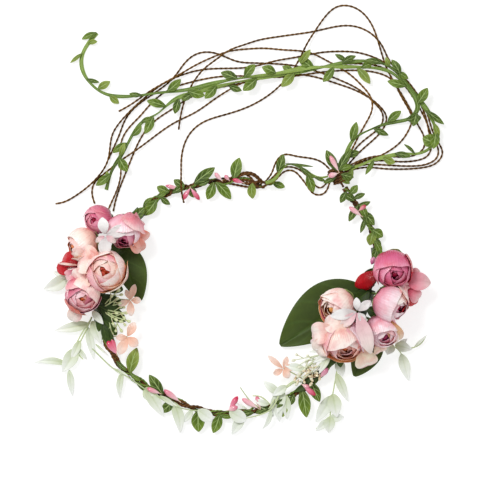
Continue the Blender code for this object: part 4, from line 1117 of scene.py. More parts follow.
def cupped_petal(
    batch, centre, radius, facing, heading, span, rim, lean, tone, curl=0.05, spiral=0.04,
):
    """One petal on a ball; heading is the way its middle faces seen from above, in degrees from +X.

    Its pole is facing + lean * heading. Its polar angle goes from BACK to rim + 24 |u| ** 2.4
    degrees with a wavy edge, its azimuth is span u w(v) with w from 0.35 to 1, and its distance is
    radius (1 + spiral u + curl over the last fifth of v) with slight dents.
    """
    facing = unit(facing)
    out = np.array([math.cos(math.radians(heading)), math.sin(math.radians(heading)), 0.0])
    out = unit(out - facing * (out @ facing))
    pole = unit(facing + lean * out)
    first = unit(out - pole * (out @ pole))
    second = np.cross(pole, first)
    v = np.linspace(0, 1, 17)[:, None]
    u = np.linspace(-1, 1, 19)[None, :]
    phase = chance.uniform(0, 6)
    wave = 2.0 * np.sin(4 * u + phase) + np.sin(9 * u - phase)
    edge = np.maximum(rim + 24 * np.abs(u) ** 2.4 + wave, 5)
    polar = np.radians(BACK + (edge - BACK) * v)
    azimuth = np.radians(span * u * (0.35 + 0.65 * v**0.6))
    lip = np.clip((v - 0.8) / 0.2, 0, 1) ** 2
    dent = 0.012 * np.sin(6 * u + 5 * v + phase) + 0.008 * np.sin(11 * u - 4 * v)
    r = radius * (1 + spiral * u + curl * lip + dent)
    grid = centre + r[..., None] * (
        (np.sin(polar) * np.cos(azimuth))[..., None] * first
        + (np.sin(polar) * np.sin(azimuth))[..., None] * second
        + SQUASH * np.cos(polar)[..., None] * pole
    )
    across, along = u + 0 * v, v + 0 * u
    front, back = TONES[tone]
    fade = chance.uniform(-0.1, 0.1)
    # Painted shade and highlight: darkest at the foot, under the outer petals, a little darker at
    # the sides, and palest at the rim.
    shade = along**2.2 + fade - 0.12 * np.abs(across) ** 3
    outside, inside = between(shade, *front), between(along**2 + fade, *back)
    turned = [table[:, ::-1] for table in (grid * MM, outside, inside, across, along)]
    add_shell(batch, turned[0], PETAL_THICKNESS * MM, *turned[1:])


def loose_petal(batch, base, tip, half, tone, **shape):
    """A petal that has opened right out: a blunt cupped sheet."""
    settings = dict(arch=2.0, fold=0.3, widest=1.35, blunt=0.5, ripple=0.25, rows=17, columns=15)
    grid, across, along = leaf_grid(base, tip, half, **(settings | shape))
    front, back = TONES[tone]
    # Both sides darken towards the foot: painted shade where the petal tucks in, over the cloth's
    # own colour.
    front, back = between(along**1.3, *front), between(along, *back)
    add_shell(batch, grid, PETAL_THICKNESS * MM, front, back, across, along)


# %% How a rose is built
backs = []  # each rose's centre, radius and facing, for its calyx and stem


def rose(node, facing, turn, layers, opened=(), loose=(), swell=1.1, place=None):
    """A rose of layers of three petals, from the outside in.

    A layer is its size, its rim angle, its lean and the tones of its petals. An opened petal is its
    heading, span, rim angle, lean, size, curl and tone. place is the ball, where the fit can't tell.
    """
    centre, radius = place or ball(node)
    radius *= swell
    backs.append((np.array(centre), radius, unit(facing)))
    batch = new_batch()
    for number, (size, rim, lean, *tones) in enumerate(layers):
        for petal in range(3):
            heading = turn + 120 * petal + 52 * number + chance.uniform(-9, 9)
            cupped_petal(
                batch, centre, radius * size * (1 - 0.015 * petal), facing, heading, 76,
                rim + chance.uniform(-4, 4), lean + chance.uniform(-0.06, 0.06),
                tones[petal % len(tones)],
            )
    heart, inside = radius * layers[-1][0], TONES[layers[-1][-1]][1]
    pip(batch, centre, centre + 0.96 * heart * unit(facing), 0.38 * heart, *inside[:2])
    for heading, span, rim, lean, size, curl, tone in opened:
        cupped_petal(batch, centre, radius * size, facing, heading, span, rim, lean, tone, curl)
    for base, tip, half, tone, *shape in loose:
        loose_petal(batch, base, tip, half, tone, **dict(*shape))
    make_piece(node + "_petals", batch, rose_satin, stands_for=[node])
    print(node, "centre", np.round(centre, 1), "radius", round(radius, 1))


# %% [markdown]
# ## Petal colours, with painted shade and highlight
#
# Each petal is painted deepest at the foot and palest at the rim: the deep foot is painted shade,
# where the outer petals cover it, and the pale rim a painted highlight, over the cloth's own colour.
# The inside is painted deeper, partly its own colour and partly painted shade, and it shows at the
# rose's opening.

# %% Petal colours with painted shade and highlight: the outside from foot to rim, then the inside from foot to rim
TONES = {
    "mauve": (("#9c2450", "#cf7292", "#e6a4b4"), ("#700c34", "#a02c58", "#df98ae")),
    "pink": (("#c84868", "#efabb6", "#fad6d5"), ("#98162e", "#c63e52", "#e88490")),
    "salmon": (("#dc7a68", "#f1a896", "#f8c8ba"), ("#c8481c", "#e27440", "#f4ae8c")),
    "peach": (("#e49a7c", "#f9d5c5", "#fdeae0"), ("#b04010", "#d8742c", "#eca45e")),
    "cream": (("#f1c4b1", "#fce8de", "#fff5ef"), ("#dc7230", "#ee9a58", "#f6bd8e")),
    "lilac": (("#d06a8c", "#ecb6c6", "#f7dbe1"), ("#8c2450", "#bc4c7c", "#e4a4bc")),
    "satin": (("#de7f9c", "#f6ced9", "#fdeef1"), ("#b01c34", "#cc4c5c", "#eea0a8")),
    "magenta": (("#96083c", "#cc4272", "#e27c9e"), ("#640626", "#9a0f38", "#cc4470")),
    "rosy": (("#b8285a", "#dd7096", "#f0a8bf"), ("#84062c", "#b82450", "#e27c98")),
    "red": (("#8c0210", "#bc061a", "#cf1428"), ("#6c020e", "#9c0818", "#b81c2c")),
    "rust": (("#a81c10", "#c83c28", "#da6450"), ("#8c1c08", "#b83c18", "#d46c40")),
    "ivory": (("#f2dab8", "#faeed8", "#fdf7ea"), ("#e6a25e", "#efc08a", "#f6dfbc")),
    "tan": (("#cc8c54", "#e8c09a", "#f6e3cd"), ("#ac662a", "#cf9c68", "#eed4b4")),
    "white": (("#dcd4d3", "#f2efed", "#fcfbfa"), ("#d6caca", "#ede6e5", "#f9f5f4")),
    "blush": (("#efb8c2", "#f9dedd", "#fdf2e8"), ("#dca4b0", "#f0cbcf", "#f6e3e2")),
    "apricot": (("#eaae94", "#fadfd0", "#fff0e6"), ("#da7c34", "#eaa056", "#f3bd80")),
    "sepal": (("#3f531c", "#5e7632", "#7f9550"), ("#4c6228", "#6c8440", "#8fa463")),
    "floret": (("#f6bfa4", "#fcdccc", "#fff1e9"), ("#eeb092", "#f8cdb6", "#fce4d6")),
}

# %% [markdown]
# ## The left cluster
#
# Six roses crowd round the left end of the front. The largest faces straight up, and the others
# lean away from it. Loose petals at their edges hang over the hoop.

# %% Roses of the left cluster
rose(
    "rose_left_mauve_bud", (-0.42, -0.05, 0.9), 250,
    [
        (1.0, 34, -0.15, "mauve", "rosy", "mauve"), (0.95, 24, -0.2, "rosy", "magenta", "mauve"),
        (0.87, 15, -0.12, "magenta"),
    ],
    opened=[
        (20, 95, 42, -0.3, 1.04, 0.05, "mauve"), (215, 60, 40, -0.1, 1.05, 0.06, "rosy"),
        (100, 66, 40, -0.2, 1.07, 0.07, "mauve"),
    ],
    swell=1.0,
)
rose(
    "rose_left_pink_open", (-0.1, -0.8, 0.6), 90,
    [
        (1.0, 50, -0.2, "satin", "pink", "satin"), (0.94, 40, -0.2, "satin", "pink", "mauve"),
        (0.86, 28, -0.15, "rosy", "mauve", "magenta"), (0.76, 18, -0.1, "magenta"),
        (0.64, 10, 0, "magenta"),
    ],
    opened=[
        (95, 80, 62, -0.2, 1.1, 0.1, "satin"), (165, 46, 60, 0.0, 1.06, 0.06, "lilac"),
        (60, 48, 70, -0.1, 1.22, 0.12, "pink"),
    ],
    loose=[
        ((-66, 42, 24), (-54.2, 32.5, 13), 6.4, "salmon", dict(arch=3.6, droop=3.0, fold=0.4)),
        ((-66, 40, 22), (-57.0, 26.5, 12), 5.0, "salmon", dict(arch=3.0, droop=2.0, fold=0.4)),
        ((-64, 44, 23), (-57.5, 48.5, 15), 5.0, "pink", dict(arch=2.5, droop=2.0)),
    ],
)
rose(
    "rose_left_cream_bud", (-0.88, -0.12, 0.42), 95,
    [
        (1.0, 42, -0.15, "cream", "cream", "apricot"),
        (0.94, 30, -0.2, "apricot", "cream", "cream"), (0.86, 15, -0.1, "cream"),
    ],
    opened=[(60, 100, 50, -0.3, 1.04, 0.06, "cream"), (250, 66, 46, -0.1, 1.06, 0.08, "apricot")],
)
rose(
    "rose_left_peach_main", (-0.08, 0.02, 1.0), 150,
    [
        (1.0, 60, -0.1, "cream", "peach", "cream"), (0.96, 46, -0.2, "peach", "cream", "pink"),
        (0.9, 34, -0.22, "pink", "peach", "peach"),
        (0.82, 22, -0.2, "peach"), (0.7, 9, 0, "rust"),
    ],
    opened=[
        (130, 62, 54, -0.25, 1.06, 0.06, "cream"), (320, 66, 56, 0.12, 1.1, 0.09, "apricot"),
        (205, 58, 50, -0.3, 1.03, 0.06, "pink"),
        (20, 58, 52, -0.15, 1.02, 0.07, "cream"),
    ],
    loose=[
        ((-86, 12, 27), (-102.5, 7.5, 19), 7.6, "cream", dict(arch=3.2, droop=3.0)),
        (
            (-83, 17, 32), (-99.0, 22.5, 22), 8.2, "cream",
            dict(arch=3.6, droop=3.0, fold=0.15, widest=1.15, blunt=0.62),
        ),
        (
            (-84, 21, 32), (-93.5, 31.0, 27), 3.6, "apricot",
            dict(arch=1.6, droop=1.0, widest=1.0, blunt=0.7),
        ),
    ],
)
rose(
    "rose_left_mauve_spiral", (0.05, -0.3, 0.95), 75,
    [
        (1.0, 58, -0.1, "satin", "lilac", "pink"), (0.95, 44, -0.2, "mauve", "satin", "pink"),
        (0.88, 32, -0.2, "lilac", "pink", "satin"),
        (0.8, 21, -0.15, "pink", "mauve", "satin"), (0.7, 10, 0, "salmon"),
    ],
    opened=[
        (50, 66, 42, -0.3, 1.04, 0.06, "cream"), (100, 50, 50, -0.2, 1.05, 0.05, "pink"),
        (300, 56, 58, -0.05, 1.03, 0.06, "lilac"), (236, 48, 40, -0.05, 1.1, 0.05, "rust"),
    ],
    loose=[
        ((-98, -6, 13), (-102.5, -18.3, 9.5), 5.0, "cream", dict(arch=2.0, droop=1.0)),
        ((-97, 4, 20), (-106.5, 7.5, 15), 5.0, "pink", dict(arch=2.2, droop=2.0)),
    ],
)
rose(
    "rose_left_red_bud", (-0.5, -0.6, 0.6), 10,
    [(1.0, 40, -0.2, "pink", "cream", "pink"), (0.93, 26, -0.2, "pink"), (0.84, 14, -0.1, "pink")],
    loose=[
        ((-97.5, 18.5, 19), (-108.5, 23.8, 13.5), 5.2, "red", dict(arch=3.0, droop=1.0, fold=-0.1)),
        ((-98.5, 17.5, 16), (-112.6, 15.5, 11), 4.6, "red", dict(arch=2.4, fold=-0.1)),
        ((-98, 18.2, 19), (-111.8, 19.4, 14.8), 0.8, "cream", dict(arch=2.6, widest=1.0)),
        ((-98, 14, 18), (-107, 10, 13.5), 4.0, "pink", dict(arch=1.8, droop=1.0)),
    ],
    place=((-100.5, 13.0, 12.0), 6.0),
)

# %% [markdown]
# ## The right cluster
#
# Six more roses, from deep magenta at the top to cream and lilac below, with petals in ivory and
# tan that have opened right out.

# %% Roses of the right cluster
rose(
    "rose_right_magenta", (0.1, -0.42, 0.9), 100,
    [
        (1.0, 54, -0.15, "rosy", "magenta", "rosy"), (0.95, 43, -0.2, "rosy", "magenta", "magenta"),
        (0.88, 31, -0.2, "magenta", "rosy", "magenta"),
        (0.8, 20, -0.1, "magenta"), (0.68, 12, 0, "magenta"),
    ],
    opened=[
        (95, 74, 50, -0.3, 1.05, 0.06, "rosy"), (170, 54, 60, -0.15, 1.05, 0.06, "rosy"),
        (5, 52, 60, -0.1, 1.04, 0.07, "red"),
    ],
    loose=[
        (
            (95.5, 13.5, 15), (80.3, 4.2, 9), 5.0, "red",
            dict(arch=3.4, droop=1.0, widest=1.05, blunt=0.62, fold=-0.25, ripple=0.0),
        ),
        (
            (93, 9, 12), (84, 3.2, 8), 3.4, "red",
            dict(arch=2.6, widest=1.0, blunt=0.62, fold=-0.2, ripple=0.0),
        ),
        ((112, 8, 16), (113.5, 1.5, 12), 4.4, "red", dict(arch=1.5)),
    ],
)
rose(
    "rose_right_pink_pointed", (0.55, -0.3, 0.75), 30,
    [(1.0, 50, -0.2, "pink", "satin", "pink"), (0.93, 36, -0.2, "pink"), (0.84, 22, -0.1, "pink")],
    loose=[
        ((112, 9, 18), (129.0, 6.6, 13), 6.0, "pink", dict(arch=2.4, widest=0.85, blunt=0.75)),
        ((112, 10, 16), (122.5, 12.5, 11), 4.8, "pink", dict(arch=1.6)),
        ((114, 1, 14), (118.5, -7.5, 9), 4.0, "red", dict(arch=1.6)),
        ((114, 2, 17), (121.5, -3.5, 12), 4.6, "pink", dict(arch=1.8)),
    ],
    place=((112.5, 4.0, 12.5), 7.0),
)
rose(
    "rose_right_lilac_upper", (0.62, -0.42, 0.66), 215,
    [
        (1.0, 42, -0.25, "satin", "lilac", "cream"), (0.95, 31, -0.25, "satin", "cream", "lilac"),
        (0.87, 21, -0.15, "red", "satin", "rosy"), (0.76, 13, 0, "rosy"),
    ],
    opened=[(160, 95, 48, -0.3, 1.07, 0.04, "satin"), (20, 50, 44, -0.2, 1.05, 0.06, "cream")],
)
rose(
    "rose_right_cream_wide", (-0.74, -0.22, 0.63), 60,
    [
        (1.0, 48, -0.15, "cream", "pink", "apricot"),
        (0.92, 38, -0.15, "apricot", "cream", "cream"), (0.8, 27, -0.1, "cream"),
        (0.66, 14, 0, "apricot"),
    ],
    opened=[
        (60, 90, 56, -0.3, 1.06, 0.08, "cream"), (215, 66, 52, 0.18, 1.18, 0.06, "apricot"),
        (300, 60, 50, -0.1, 1.05, 0.1, "pink"), (130, 56, 52, -0.1, 1.08, 0.08, "cream"),
    ],
)
rose(
    "rose_right_peach_long", (0.05, -0.7, 0.7), 20,
    [
        (1.0, 52, -0.15, "pink", "cream", "peach"), (0.95, 41, -0.2, "cream", "pink", "salmon"),
        (0.87, 30, -0.15, "pink", "salmon", "salmon"),
        (0.76, 20, -0.1, "salmon", "pink", "salmon"), (0.64, 12, 0, "salmon"),
    ],
    opened=[
        (110, 66, 44, -0.3, 1.08, 0.05, "cream"), (175, 60, 60, -0.1, 1.12, 0.08, "pink"),
        (30, 56, 56, -0.15, 1.1, 0.1, "satin"), (262, 70, 54, 0.16, 1.16, 0.06, "apricot"),
    ],
    loose=[
        ((84, -34, 20), (88.5, -47.5, 11), 7.6, "ivory", dict(arch=3.4, droop=1.0, fold=0.2)),
        ((70, -24, 27), (51, -26, 17), 7.2, "cream", dict(arch=3.4, droop=3.0, ripple=0.6)),
        ((66, -27, 22), (54.5, -38.5, 14), 6.4, "cream", dict(arch=3.0, droop=2.0, ripple=0.5)),
        ((76, -22, 30), (60, -18.0, 25), 6.0, "cream", dict(arch=2.4, droop=1.0)),
        ((60, -31, 17), (52.5, -33.5, 11), 4.0, "white", dict(arch=1.4, ripple=0.5)),
    ],
)
rose(
    "rose_right_lilac_lower", (0.25, -0.5, 0.83), 140,
    [
        (1.0, 48, -0.2, "lilac", "satin", "lilac"), (0.95, 37, -0.2, "lilac", "satin", "pink"),
        (0.88, 26, -0.15, "satin"), (0.78, 16, 0, "mauve"),
    ],
    opened=[(100, 76, 46, -0.3, 1.05, 0.05, "satin"), (190, 50, 52, -0.1, 1.05, 0.06, "satin")],
    loose=[
        ((100, -17, 24), (109.5, -31, 14), 5.0, "tan", dict(arch=3.4, droop=2.0, widest=1.1)),
        ((103, -20, 21), (106.5, -33, 14), 3.0, "cream", dict(arch=2.6, droop=1.5, widest=1.1)),
        ((94, -31, 17), (97.0, -38.5, 11), 4.6, "ivory", dict(arch=2.0, droop=1.0)),
    ],
)

# %% [markdown]
# ## Blossoms
#
# A white blossom is tucked between the roses of each cluster: a single layer of cloth petals that
# meet at a stitched centre. They bend down over the roses, by each one's own droop.

# %% White blossoms
for name, centre, petals in [
    ("blossom_left", (-80.3, 37.3), [
        ((-82.5, 48.8), 3.5, "white", 2.0), ((-64.5, 42.3), 4.0, "white", 3.0),
        ((-80.8, 24.2), 4.2, "white", 1.5), ((-73.6, 32.8), 2.2, "blush", 1.0),
        ((-86.5, 33.0), 2.0, "blush", 1.0),
    ]),
    ("blossom_right", (81.0, -11.5), [
        ((89.5, -4.5), 2.8, "white", 2.0), ((64.0, -14.5), 3.6, "white", 3.0),
        ((90.0, -38.5), 5.0, "blush", 7.0), ((80.5, -2.5), 2.4, "white", 2.5),
        ((70.0, -21.5), 3.4, "blush", 3.0), ((86.5, -18.5), 2.4, "white", 2.0),
    ]),
]:
    low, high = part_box(name)
    level = high.z / MM - 0.6
    batch = new_batch()
    for tip, half, tone, droop in petals:
        start = (*(centre + 0.8 * unit(np.subtract(tip, centre))), level)
        loose_petal(
            batch, start, (*tip, level), half, tone, arch=1.0, fold=0.25, droop=droop, widest=1.1,
            blunt=0.72, ripple=0.3,
        )
    pip(batch, (*centre, level - 1.5), (*centre, level + 1.2), 1.4, "#f5ecd9", "#f3e3d6")
    make_piece(name + "_petals", batch, blossom_cloth, stands_for=[name])

# %% [markdown]
# ## Florets
#
# Small peach florets stand on wire stalks beside the clusters: four or five flat petals round a
# seed. Each petal has the place of its tip, and a stalk runs from the hoop to the centre.

# %% Peach florets
for name, centre, foot, petals in [
    (
        "floret_left_upper", (-65.0, -4.5), (-81.2, -4.5, 5.4),
        [
            ((-62.0, 5.8), 2.2), ((-58.0, -4.6), 2.3), ((-64.6, -14.8), 2.6), ((-72.6, -7.6), 2.1),
            ((-68.0, 2.2), 1.7),
        ],
    ),
    (
        "floret_left_lower", (-67.0, -28.2), (-78.5, -28.5, 5.0),
        [
            ((-61.9, -18.8), 2.9), ((-60.2, -34.3), 3.3), ((-72.4, -39.6), 3.4),
            ((-74.3, -28.8), 2.2),
        ],
    ),
    (
        "floret_right", (34, -49), (48.5, -57.0, 5.8),
        [
            ((24.0, -40.5), 1.9), ((37.5, -55.0), 2.6), ((27.5, -52.5), 2.2), ((41.5, -47.0), 2.4),
            ((36.5, -41.0), 1.9),
        ],
    ),
]:
    low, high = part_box(name)
    level = high.z / MM - 0.3
    batch = new_batch()
    for tip, half in petals:
        start = (*(centre + 0.4 * unit(np.subtract(tip, centre))), level)
        loose_petal(
            batch, start, (*tip, level + chance.uniform(-0.6, 1.2)), half, "floret", arch=0.9,
            fold=0.3, widest=1.25, blunt=0.66, ripple=0.15, rows=13, columns=9,
        )
    pip(batch, (*centre, level - 2.0), (*centre, level + 0.9), 1.0, "#e9c29a", "#d98a5e")
    middle = (np.array(foot) + (*centre, level)) / 2 + (0, 0.6, 0.6)
    stalk = smooth([foot, middle, (*centre, level - 0.4)], 1.0)
    add_rod(batch, stalk * MM, 0.42 * MM, linear("#c3cfa2"), 8)
    make_piece(name + "_petals", batch, floret_cloth, stands_for=[name])

# %% [markdown]
# ## Frosted sprigs
#
# The pale sprigs are soft moulded plastic: a round stem and thick leaves that go from pale green
# at the foot to nearly white at the tip. The two longest turn at their roots, so each rides on
# its own body, and the others ride on the crown.

# %% Sprig leaves and stems
# Colours from foot to tip, of the front and of the back.
FROST = (("#b8c497", "#d8e0ca", "#f1f3ee"), ("#c2cda8", "#dce3cf", "#f1f3ed"))
SNOW = (("#c6d0b2", "#dfe5d6", "#f1f4ef"), ("#cdd6be", "#e3e8dc", "#f1f4ef"))


def sprig_leaf(batch, base, tip, half, colours, *shape):
    """A thick moulded leaf with a soft fold and a greener rib."""
    settings = dict(arch=0.6, fold=0.25, widest=0.78, blunt=0.85)
    grid, across, along = leaf_grid(base, tip, half, **(settings | dict(*shape)))
    rib = 0.25 * np.exp(-((across / 0.12) ** 2))
    grid[..., 2] = np.maximum(grid[..., 2], 0.5 * MM)
    front, back = between(along * 1.1 - rib, *colours[0]), between(along, *colours[1])
    add_shell(batch, grid, 0.6 * MM, front, back, across, along)


def stem(batch, points, radius=0.55, colours=("#c3cf9f", "#c3cf9f")):
    """A round stem through chosen points that tapers by a third, above the table."""
    line = smooth(points, 0.9)
    t = np.linspace(0, 1, len(line))
    line[:, 2] = np.maximum(line[:, 2], radius + 0.05)
    add_rod(batch, line * MM, radius * (1 - 0.35 * t) * MM, between(t, *colours), 8)


# %% Sprigs
SPRIGS = {  # body, stems, and leaves: foot, tip, half the width, colours, and the shape if special
    "sprig_left_long": (
        "left_sprig",
        [
            [
                (-90.3, -15.5, 3.4), (-91.8, -19, 3.8), (-94, -24, 3.5), (-97.5, -31, 3),
                (-101, -38, 2.5), (-108, -46, 2),
            ],
            [(-91.5, -18, 3.7), (-95.5, -24, 3.4), (-100, -32, 2.8), (-103, -38, 2.4)],
            [(-100, -36, 2.6), (-98, -41, 2.2), (-96, -43, 2)],
        ],
        [
            ((-92, -20, 3.4), (-114.5, -24.3, 2.6), 3.4, FROST),
            ((-93, -22, 2.6), (-89.0, -43.5, 1.4), 2.6, SNOW),
            ((-100, -36, 2.8), (-109.5, -51.5, 3.0), 4.6, FROST),
            ((-106.5, -46, 2.2), (-127.8, -45.3, 2.0), 2.3, FROST, dict(sway=-1.8)),
            ((-99.5, -36, 2.8), (-93.5, -43, 2.0), 1.7, FROST),
            ((-105, -50, 2.2), (-103.0, -67.0, 1.2), 2.4, SNOW),
            ((-98, -31, 3), (-103.5, -43, 3.2), 2.6, FROST),
        ],
    ),
    "sprig_right_hanging": (
        "right_sprig",
        [
            [(69.5, -43, 4), (68.5, -52, 3.5), (66, -66, 3), (64.5, -78, 2.5), (64, -85.5, 2)],
            [(70, -44, 4), (71, -48, 3.6), (72, -51, 3.2)],
            [(64.3, -82, 2), (59, -86.5, 1.6), (55, -88, 1.4)],
        ],
        [
            ((69.5, -43, 4.4), (72.5, -54, 3.2), 3.4, SNOW),
            ((68.3, -52, 3.6), (76, -70.5, 2.6), 3.0, FROST),
            ((66, -66.5, 3.2), (55, -84, 1.8), 4.2, SNOW),
            ((66, -65.5, 3.4), (68.7, -80.5, 3.6), 4.6, FROST),
            ((64.2, -81, 2.4), (73.5, -80.5, 1.6), 3.0, SNOW),
            ((64.5, -80, 2.4), (63.3, -91, 1.4), 3.6, FROST),
            ((64.2, -82, 2.2), (55, -89.5, 1.2), 2.6, SNOW),
        ],
    ),
    "sprig_left_short": (
        "crown",
        [[(-88.6, 8.5, 3.8), (-97.5, 9.8, 3.7), (-103, 10.5, 3.4), (-109, 10.5, 3.2)]],
        [
            ((-106, 11, 3.4), (-121.8, 2.5, 2.4), 4.6, SNOW, dict(sway=1.4)),
            ((-104, 10.6, 3.4), (-116, 13.8, 2.8), 2.6, SNOW),
        ],
    ),
    "sprig_right_outer": (
        "crown",
        [
            [
                (86.6, -18.5, 4.5), (92, -24.5, 5.5), (97, -30, 5.5), (102, -33.4, 4.2),
                (107, -35.5, 3.2), (112, -42, 2.6),
            ],
            [(109, -37.5, 2.8), (116, -36, 3), (123, -33, 3.2), (126.5, -28, 3.4)],
        ],
        [
            ((104, -32.5, 4.0), (101.5, -40, 3.0), 3.6, FROST),
            ((106.5, -33.5, 3.8), (117.5, -36.5, 3.4), 3.4, FROST),
            ((110.5, -39.5, 3.0), (115.5, -57.0, 2.0), 3.6, SNOW),
            ((108, -34.5, 3.6), (114.5, -29.5, 3.6), 1.8, FROST),
            ((119, -35, 3.2), (127.3, -27.0, 3.2), 1.0, SNOW),
        ],
    ),
    "sprig_front_right": (
        "crown",
        [
            [
                (45.8, -57.6, 3.6), (42, -57.6, 4.3), (38, -60, 4.3), (33.5, -63, 4.0),
                (30.5, -66, 3.6), (27.5, -70, 7.6), (24.5, -75, 7.6),
            ],
            [(60, -40, 8), (52, -46, 9), (43, -55, 8.5), (35, -61, 8), (31, -66, 8)],
            [(31, -66, 8), (26, -75, 7.8), (18, -79, 7), (10, -81, 6)],
            [(25, -72, 7.6), (19, -67, 7), (14, -66.5, 6.5)],
        ],
        [
            ((33.5, -62.5, 5.4), (26.5, -80.5, 4.6), 4.6, SNOW),
            ((31, -65, 5), (20.5, -56.8, 4.0), 2.8, SNOW),
            ((35.5, -66, 6), (36.5, -82, 3.6), 3.0, FROST),
            ((30, -68, 6), (31.5, -83.5, 3.6), 3.0, SNOW),
            ((24.5, -72, 8), (15, -69.5, 7), 2.2, SNOW),
            ((26, -75, 7), (20, -88.5, 3.5), 1.6, SNOW, dict(sway=1.6)),
            ((48, -49, 10), (34.5, -46.5, 9), 2.6, SNOW),
            ((36, -60, 8), (27, -66.5, 7.5), 2.8, SNOW),
        ],
    ),
}
for name, (body, stems, leaves) in SPRIGS.items():
    batch = new_batch()
    for line in stems:
        stem(batch, line)
    for leaf in leaves:
        sprig_leaf(batch, *leaf)
    make_piece(name + "_frosted", batch, frosted, body=body, stands_for=[name])

# %% Pale leaves and stems bound in along the front of the hoop
FRONT_LEAVES = [
    ((-90, -18, 6.6), (-84.2, -33.0, 6.2), 3.4, FROST),
    ((-89.5, -11.5, 11), (-82.5, -20, 10), 2.4, SNOW),
    ((66, -37, 12), (53, -45, 11), 2.4, SNOW), ((64, -39, 11), (57, -52, 10), 2.2, FROST),
    ((62, -35.5, 12), (50.5, -38, 11), 1.6, SNOW),
    ((-55, -61, 4.5), (-43.5, -80, 3), 4.0, FROST),
    ((-56, -62, 4.2), (-49.5, -70.5, 3.6), 4.0, FROST),
    ((-37.5, -70.5, 4.5), (-33, -91, 2.6), 3.6, FROST, dict(sway=1.5)),
    ((-70.5, -51, 4.5), (-72, -68.5, 2.5), 2.2, FROST, dict(sway=-1.0)),
    ((-76, -49, 4.8), (-66, -54, 4.4), 1.2, FROST),
    ((-21.5, -75.5, 5.6), (-12, -82.5, 5.4), 4.0, SNOW, dict(widest=1.1, blunt=0.6)),
    ((-1, -76.5, 6.2), (10, -82.5, 5.0), 4.2, SNOW, dict(widest=1.0, blunt=0.6)),
    ((8, -79, 4.4), (0.5, -92, 2.4), 3.4, SNOW),
    ((-46, -66.5, 5.4), (-34, -74.5, 4.6), 1.6, FROST),
    ((-88, -33, 3.2), (-79.5, -40.5, 3.6), 0.8, FROST),
    ((-25, -76, 5), (-31, -84, 3), 2.2, SNOW), ((11, -75.5, 6), (3.5, -71, 5.8), 0.7, SNOW),
]
FRONT_STEMS = [
    [
        (-90, -36, 2.6), (-84, -42, 3), (-76, -49, 5), (-66, -55, 5.2), (-56, -62, 5.4),
        (-44, -68, 5.8),
    ],
    [(-48, -66.5, 5.6), (-38, -72.5, 5.4), (-28, -75.5, 5.4), (-20, -76.5, 5.6)],
    [(22, -75, 5.2), (15, -72, 6.5), (9.5, -66, 7), (6, -61, 7)],
]
batch = new_batch()
for leaf in FRONT_LEAVES:
    sprig_leaf(batch, *leaf)
for line in FRONT_STEMS:
    stem(batch, line, 0.5, ("#b9c79a", "#b9c79a"))
make_piece("front_pale_leaves", batch, frosted)

# %% [markdown]
# ## Sprays and the seed head
#
# A spray is a bunch of hair-thin moulded stems with long buds at their ends. Each stem bows up
# from the root to its end and carries two side shoots, one to each hand. Behind the right spray
# hangs a seed head, a loose ball of dry seeds.

# %% Sprays of buds on hair-thin stems
SPRAYS = {  # root, ends, bud radius, bud colours and stem colours
    "spray_left": (
        (-83.5, -9.5, 6.5),
        [
            (-74, 0.5, 12), (-75, -4.5, 13), (-71.5, -6.5, 9), (-70, -12.5, 9), (-68, -17.5, 9),
            (-72, -22.5, 8), (-77.5, -24.5, 7), (-76, -16, 10),
        ],
        0.95, ("#b4c27e", "#e0e6bd"), ("#a9b87c", "#ccd6a4"),
    ),
    "spray_right": (
        (66, -38, 8.5),
        [
            (51, -43.5, 9), (42.5, -43, 9), (46, -50.5, 10), (38.5, -50.5, 9), (44, -57.5, 9),
            (56, -49.5, 9),
        ],
        0.95, ("#d3d8b8", "#f0efdc"), ("#c3ccaa", "#e0e5cc"),
    ),
}
SHOOTS = ((0.6, 1), (0.82, -1))  # where on the stem a side shoot starts, and to which hand

for name, (root, ends, radius, bud, green) in SPRAYS.items():
    batch = new_batch()
    root = np.array(root, float)
    for end in np.array(ends, float):
        reach = np.linalg.norm(end - root)
        side = unit(np.cross((0, 0, 1), end - root)) * chance.uniform(-0.14, 0.14) * reach
        middle = (root + end) / 2 + side + (0, 0, 0.1 * reach)
        stem(batch, [root, middle, end], 0.5, green)
        aim = unit(end - middle)
        across = unit(np.cross((0, 0, 1), aim))
        for t, hand in SHOOTS:
            start = (1 - t) ** 2 * root + 2 * t * (1 - t) * middle + t**2 * end
            out = start + aim * 2.4 + across * hand * 2.2 + (0, 0, chance.uniform(-0.2, 1.4))
            stem(batch, [start, (start + out) / 2 + (0, 0, 0.2), out], 0.4, green)
            top = out + unit(aim + 0.7 * hand * across) * chance.uniform(2.2, 3.6)
            pip(batch, out, top, radius, *bud)
        pip(batch, end, end + aim * 3.6, radius * 1.1, *bud)
    make_piece(name + "_buds", batch, frosted, stands_for=[name])

# %% The seed head
SEED_HEAD, SEED_SPREAD, SEEDS = (51, -53.5, 9.0), (3.4, 3.0, 0.9), 26
batch = new_batch()
for _ in range(SEEDS):
    spot = SEED_HEAD + chance.normal(0, SEED_SPREAD)
    aim = unit(chance.normal(0, 1, 3) + (-0.4, -0.6, 0.8))
    top = spot + aim * chance.uniform(3.2, 5.0)
    pip(batch, spot, top, chance.uniform(0.7, 1.0), "#ab8448", "#efe4c4")
make_piece("seed_head", batch, lacquer, sharp=ROUND)

# %% [markdown]
# ## Calyxes and stems
#
# Five green sepals hug the back of each rose, and a stem, thick where it holds the petals' feet,
# runs from there to the hoop, where the tape binds it. They are seen from the sides. A sepal is
# the same patch of a sphere as a petal, narrower and kept to the back of the ball.

